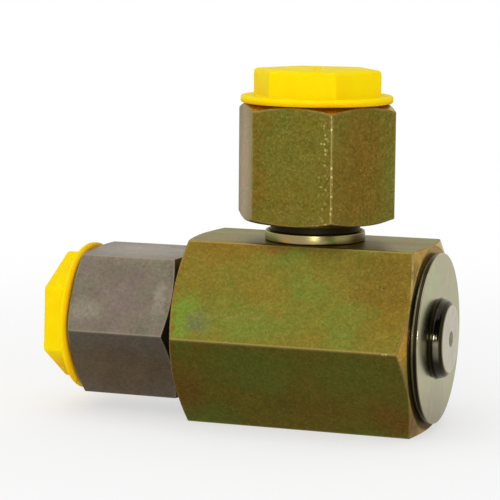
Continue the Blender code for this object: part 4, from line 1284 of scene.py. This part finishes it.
class FittingColours(bpy.types.PropertyGroup):
    """Colours of the finishes."""

    olive: swatch("Olive", "Main colour of the yellow zinc", (0.180, 0.150, 0.021))
    leaf_green: swatch("Green", "Green patches in the yellow zinc", (0.150, 0.182, 0.026))
    fresh_green: swatch("Fresh green", "Brightest green in the yellow zinc", (0.15, 0.23, 0.028))
    grey_olive: swatch("Grey olive", "A dull patch in the yellow zinc", (0.135, 0.142, 0.075))
    gold: swatch("Gold", "Gold patches in the yellow zinc", (0.2, 0.148, 0.02))
    amber: swatch("Amber", "Orange-brown patches in the yellow zinc", (0.205, 0.108, 0.012))
    red_brown: swatch("Red-brown", "Reddest patches in the yellow zinc", (0.21, 0.085, 0.016))
    deep_brown: swatch("Deep brown", "Darkest patch in the yellow zinc", (0.145, 0.088, 0.014))
    pale_gold: swatch("Pale gold", "Light grains in the yellow zinc", (0.28, 0.24, 0.06))
    # Colour of the painted glints.
    sparkle: swatch("Sparkle", "Brightest grains in the yellow zinc", (0.48, 0.49, 0.15))
    turned_gold: swatch("Turned gold", "Turned ends of the yellow zinc pieces", (0.50, 0.272, 0.030))
    polished_gold: swatch("Polished gold", "Bright turned yellow zinc", (0.34, 0.29, 0.09))
    collar_green: swatch("Collar green", "Green tint on the port stub's collar", (0.2, 0.235, 0.07))
    rose: swatch("Rose", "Pinkish brown in the yellow zinc", (0.42, 0.265, 0.175))
    # Colour of the painted highlight on the body's chamfer.
    warm_tan: swatch("Warm tan", "Palest part of the body's chamfer", (0.76, 0.42, 0.10))
    collar_pink: swatch("Collar pink", "Pink tint on the port stub's collar", (0.34, 0.25, 0.13))
    # Stain also serves as painted shade on flat end faces and on the collar's right end.
    stain: swatch("Stain", "Dark spots on the zinc", (0.05, 0.035, 0.012))
    edge_tan: swatch("Edge", "Thin plating along the edges", (0.37, 0.27, 0.080))
    worn_edge: swatch("Worn edge", "Where plating is rubbed bright", (0.72, 0.60, 0.24))
    zinc_grey: swatch("Zinc grey", "Main colour of the plain zinc", (0.19, 0.158, 0.114))
    zinc_green: swatch("Zinc green", "Green tint in the plain zinc", (0.17, 0.162, 0.108))
    zinc_purple: swatch("Zinc purple", "Purple tint in the plain zinc", (0.2, 0.148, 0.128))
    zinc_pale: swatch("Zinc pale", "Pale smudges on the plain zinc", (0.3, 0.26, 0.2))
    zinc_dark: swatch("Zinc dark", "Dark smudges on the plain zinc", (0.15, 0.122, 0.09))
    zinc_brown: swatch("Zinc brown", "Brown tint low on the plain zinc", (0.19, 0.135, 0.078))
    zinc_edge: swatch("Zinc edge", "Edges of the plain zinc", (0.36, 0.3, 0.22))
    steel: swatch("Steel", "Main colour of the turned steel", (0.40, 0.37, 0.230))
    steel_green: swatch("Steel green", "Green tint on the turned steel", (0.36, 0.425, 0.20))
    steel_dull: swatch("Steel dull", "Duller tint low on the turned steel", (0.34, 0.30, 0.195))
    steel_pink: swatch("Steel pink", "Pink tint on the turned steel", (0.44, 0.355, 0.245))
    boss_face: swatch("Boss face", "End face of the spindle's boss", (0.56, 0.53, 0.45))
    boss_stain: swatch("Boss stain", "Dull brownish patches on the boss", (0.36, 0.315, 0.25))
    drilling: swatch("Drilling", "Dull inside of the centre drilling", (0.3, 0.26, 0.19))
    steel_edge: swatch("Steel edge", "Edges of the turned steel", (0.66, 0.58, 0.36))
    # Painted dark reflection on the spindle's polished sides and round the boss's foot.
    dark_side: swatch("Dark side", "Dark polished sides and the stub's neck", (0.022, 0.019, 0.010))
    # Painted shadow on the port stub's neck under the nut.
    shadowed: swatch("Shadowed neck", "Oily dark neck of the port stub", (0.014, 0.010, 0.006))
    bronze: swatch("Bronze", "Colour of the bushes", (0.52, 0.33, 0.14))
    bronze_stain: swatch("Bronze stain", "Dull patches on the bushes", (0.34, 0.2, 0.08))
    spring_steel: swatch("Spring steel", "Colour of the wires and the ring", (0.22, 0.21, 0.2))
    spring_stain: swatch("Spring stain", "Dark patches on the spring steel", (0.1, 0.1, 0.1))
    rubber: swatch("Rubber", "Colour of the seals", (0.02, 0.02, 0.02))
    rubber_bloom: swatch("Rubber bloom", "Pale bloom on the seals", (0.05, 0.05, 0.05))
    fluoroplastic: swatch("Fluoroplastic", "Colour of the backup rings", (0.82, 0.81, 0.76))
    fluoroplastic_shade: swatch("Fluoroplastic shade", "Duller tone of it", (0.7, 0.69, 0.64))
    plug_yellow: swatch("Plug yellow", "Main colour of the plugs", (0.93, 0.71, 0.001))
    plug_orange: swatch("Plug orange", "Deeper tone of the plugs", (0.91, 0.64, 0.001))
    plug_pale: swatch("Plug scuffs", "Pale scuffs on the plugs", (0.98, 0.75, 0.03))
    # Colour of the painted shade on the plugs, by the nuts and where little light gets.
    plug_root: swatch("Plug root", "Deep tone of the plugs by the nuts", (0.86, 0.42, 0.001))
    floor: swatch("Floor", "Colour of the paper floor", (0.92, 0.92, 0.92))
    floor_shade: swatch("Floor shade", "Duller tone of the paper", (0.86, 0.86, 0.86))


class FITTING_OT_body(bpy.types.Operator):
    """Make the yellow passivated hexagon body"""

    bl_idname = "fitting.body"
    bl_label = "Body"

    def execute(self, context):
        colours = context.scene.fitting_colours
        zinc = yellow_zinc(
            "yellow_zinc_body", colours, SWIVEL, BODY_PATCHES, BODY_SPARKLE, BODY_CONTRAST
        )
        shape_body(context.scene.fitting_shape, zinc)
        return {"FINISHED"}


class FITTING_OT_spindle(bpy.types.Operator):
    """Make the turned spindle with its flange and boss"""

    bl_idname = "fitting.spindle"
    bl_label = "Spindle"

    def execute(self, context):
        colours = context.scene.fitting_colours
        steel = turned_steel("turned_steel_spindle", colours, SWIVEL, DISC_PATCHES)
        shape_spindle(context.scene.fitting_shape, steel)
        return {"FINISHED"}


class FITTING_OT_port_stub(bpy.types.Operator):
    """Make the port stub with its collar"""

    bl_idname = "fitting.port_stub"
    bl_label = "Port Stub"

    def execute(self, context):
        colours = context.scene.fitting_colours
        zinc = polished_zinc("yellow_zinc_stub", colours, PORT, STUB_PATCHES)
        shape_port_stub(context.scene.fitting_shape, zinc)
        return {"FINISHED"}


class FITTING_OT_nuts(bpy.types.Operator):
    """Make the two swivel nuts"""

    bl_idname = "fitting.nuts"
    bl_label = "Swivel Nuts"

    def execute(self, context):
        shape = context.scene.fitting_shape
        colours = context.scene.fitting_colours
        grey = plain_zinc("plain_zinc_nut", colours, SWIVEL, SIDE_NUT_PATCHES)
        yellow = yellow_zinc(
            "yellow_zinc_nut", colours, PORT, TOP_NUT_PATCHES, TOP_NUT_SPARKLE, TOP_NUT_CONTRAST
        )
        for row in (
            ("side_nut", SIDE_NUT_BACK, SIDE_NUT_MOUTH, NUT_BACK_ANGLE, SIDE_NUT_CORNER, SWIVEL, grey),
            ("top_nut", TOP_NUT_BACK, TOP_NUT_MOUTH, TOP_MOUTH_ANGLE, TOP_NUT_CORNER, PORT, yellow),
        ):
            shape_nut(shape, *row)
        return {"FINISHED"}


class FITTING_OT_plugs(bpy.types.Operator):
    """Make the two yellow plastic plugs"""

    bl_idname = "fitting.plugs"
    bl_label = "Plugs"

    def execute(self, context):
        shape = context.scene.fitting_shape
        colours = context.scene.fitting_colours
        for side, axis, mouth, corner, shade in (
            ("side", SWIVEL, SIDE_NUT_MOUTH, SIDE_PLUG_CORNER, SIDE_PLUG_SHADE),
            ("top", PORT, TOP_NUT_MOUTH, TOP_PLUG_CORNER, TOP_PLUG_SHADE),
        ):
            face = mouth + SEAT_GAP
            plastic = yellow_plastic("yellow_plastic_" + side, colours, axis, face, shade)
            shape_plug(shape, side + "_plug", face, corner, axis, plastic)
        return {"FINISHED"}


class FITTING_OT_rings(bpy.types.Operator):
    """Make the washers, bushes, seals and wires, and finish the retaining ring"""

    bl_idname = "fitting.rings"
    bl_label = "Bearings, Seals and Rings"

    def execute(self, context):
        colours = context.scene.fitting_colours
        washer = turned_steel("turned_steel_washer", colours, SWIVEL, ())
        bronze = plain_metal("bearing_bronze", colours.bronze, colours.bronze_stain, roughness=0.34)
        spring = plain_metal(
            "hardened_spring_steel", colours.spring_steel, colours.spring_stain, roughness=0.3
        )
        rubber = seal_stuff(
            "nitrile_rubber", colours.rubber, colours.rubber_bloom, roughness=0.55, relief=0.00001
        )
        white = seal_stuff(
            "white_fluoroplastic",
            colours.fluoroplastic,
            colours.fluoroplastic_shade,
            roughness=0.42,
            relief=0.000006,
        )
        for node in ("thrust_washer", "inner_thrust_washer"):
            shape_flat_ring(node, JOURNAL_RADIUS + LAND_CLEARANCE, washer)
        for side in ("flange", "nose"):
            shape_flat_ring(side + "_bush", JOURNAL_RADIUS + RUNNING_CLEARANCE, bronze)
            shape_flat_ring(side + "_backup_ring", JOURNAL_RADIUS + SEAT_GAP, white)
            shape_round_ring(side + "_seal", SEAL_SECTION, SWIVEL, rubber)
        shape_dust_seal(rubber)
        shape_round_ring("side_cone_o_ring", O_RING_SECTION, SWIVEL, rubber)
        shape_round_ring("top_cone_o_ring", O_RING_SECTION, PORT, rubber)
        shape_round_ring("port_stub_o_ring", O_RING_SECTION, PORT, rubber)
        shape_round_ring("side_nut_wire", WIRE_SECTION, SWIVEL, spring)
        shape_round_ring("top_nut_wire", WIRE_SECTION, PORT, spring)
        ring = frame["nodes"]["retaining_ring"]
        ring.data.materials.clear()
        ring.data.materials.append(spring)
        return {"FINISHED"}


# The photograph's view, in degrees, metres and millimetres of lens
VIEW_AZIMUTH = math.radians(19.05)
VIEW_ELEVATION = math.radians(7.88)
VIEW_ROLL = math.radians(0.51)
VIEW_DISTANCE = 0.499
VIEW_TARGET = Vector((-0.01535, 0.0, 0.03778))
VIEW_LENS = 159.2
VIEW_SENSOR = 36.0
NEAREST_SEEN = 0.01

# A lamp's name, azimuth and elevation in degrees, distance, width and power
LAMPS = (
    ("key", -32.0, 50.0, 1.3, 1.3, 1.5),
    ("flash", 16.0, 10.0, 0.7, 0.14, 1.2),
    ("top", -20.0, 80.0, 1.2, 1.1, 2.0),
)

# The floor reaches this far and lies this little below the fitting
FLOOR_HALF = 4.0
FLOOR_DROP = 0.00005


def outwards(azimuth, elevation):
    """The direction from the object to a viewer, with azimuth 0 in front of it."""
    level = math.cos(elevation)
    return Vector((math.sin(azimuth) * level, -math.cos(azimuth) * level, math.sin(elevation)))


def make_floor(finish):
    """A flat square of paper under the fitting."""
    corners = [
        (x * FLOOR_HALF, y * FLOOR_HALF, -FLOOR_DROP) for x, y in ((-1, -1), (1, -1), (1, 1), (-1, 1))
    ]
    mesh = bpy.data.meshes.new("floor")
    mesh.from_pydata(corners, [], [(0, 1, 2, 3)])
    mesh.materials.append(finish)
    floor = new_object("floor", mesh)


def make_lamp(name, azimuth, elevation, distance, width, power):
    """A round lamp that faces the fitting from a direction given in degrees."""
    lamp = bpy.data.lights.new(name, "AREA")
    lamp.shape = "DISK"
    lamp.size = width
    lamp.energy = power
    back = outwards(math.radians(azimuth), math.radians(elevation))
    place = Vector((0.0, 0.0, BODY_HIGH.z)) + back * distance
    turn = back.to_track_quat("Z", "Y").to_matrix()
    new_object(name, lamp).matrix_world = Matrix.Translation(place) @ turn.to_4x4()


def make_camera():
    """A camera at the photograph's viewing angle, rolled as the photograph is."""
    back = outwards(VIEW_AZIMUTH, VIEW_ELEVATION)
    right = Vector((math.cos(VIEW_AZIMUTH), math.sin(VIEW_AZIMUTH), 0.0))
    up = back.cross(right)
    rolled_right = right * math.cos(VIEW_ROLL) + up * math.sin(VIEW_ROLL)
    rolled_up = up * math.cos(VIEW_ROLL) - right * math.sin(VIEW_ROLL)
    turn = Matrix((rolled_right, rolled_up, back)).transposed()
    camera = new_object("camera", bpy.data.cameras.new("camera"))
    camera.data.lens = VIEW_LENS
    camera.data.sensor_width = VIEW_SENSOR
    camera.data.clip_start = NEAREST_SEEN
    camera.matrix_world = Matrix.Translation(VIEW_TARGET + back * VIEW_DISTANCE) @ turn.to_4x4()
    bpy.context.scene.camera = camera


class FITTING_OT_stage(bpy.types.Operator):
    """Make the white floor, the soft studio light and the camera"""

    bl_idname = "fitting.stage"
    bl_label = "Studio"

    def execute(self, context):
        make_floor(floor_finish(context.scene.fitting_colours))
        context.scene.world = white_studio()
        for lamp in LAMPS:
            make_lamp(*lamp)
        make_camera()
        context.scene.view_settings.view_transform = "Standard"
        return {"FINISHED"}


class FITTING_PT_panel(bpy.types.Panel):
    """The fitting's pieces, one button each"""

    bl_idname = "FITTING_PT_panel"
    bl_label = "Swivel Fitting"
    bl_space_type = "VIEW_3D"
    bl_region_type = "UI"
    bl_category = "Swivel Fitting"

    def draw(self, context):
        for group in (context.scene.fitting_shape, context.scene.fitting_colours):
            for name in group.bl_rna.properties.keys():
                if name not in ("rna_type", "name"):
                    self.layout.prop(group, name)
        for operator in OPERATORS:
            self.layout.operator(operator.bl_idname)


OPERATORS = (
    FITTING_OT_body,
    FITTING_OT_spindle,
    FITTING_OT_port_stub,
    FITTING_OT_nuts,
    FITTING_OT_plugs,
    FITTING_OT_rings,
    FITTING_OT_stage,
)


def register():
    """Make the add-on's classes and settings known."""
    for item in (FittingShape, FittingColours, *OPERATORS, FITTING_PT_panel):
        bpy.utils.register_class(item)
    bpy.types.Scene.fitting_shape = PointerProperty(type=FittingShape)
    bpy.types.Scene.fitting_colours = PointerProperty(type=FittingColours)


def unregister():
    """Take the add-on's classes and settings away again."""
    del bpy.types.Scene.fitting_shape
    del bpy.types.Scene.fitting_colours
    for item in (FITTING_PT_panel, *reversed(OPERATORS), FittingColours, FittingShape):
        bpy.utils.unregister_class(item)


def main():
    """Build the whole scene."""
    register()
    for operator in OPERATORS:
        group, name = operator.bl_idname.split(".")
        getattr(getattr(bpy.ops, group), name)()


if __name__ == "__main__":
    main()
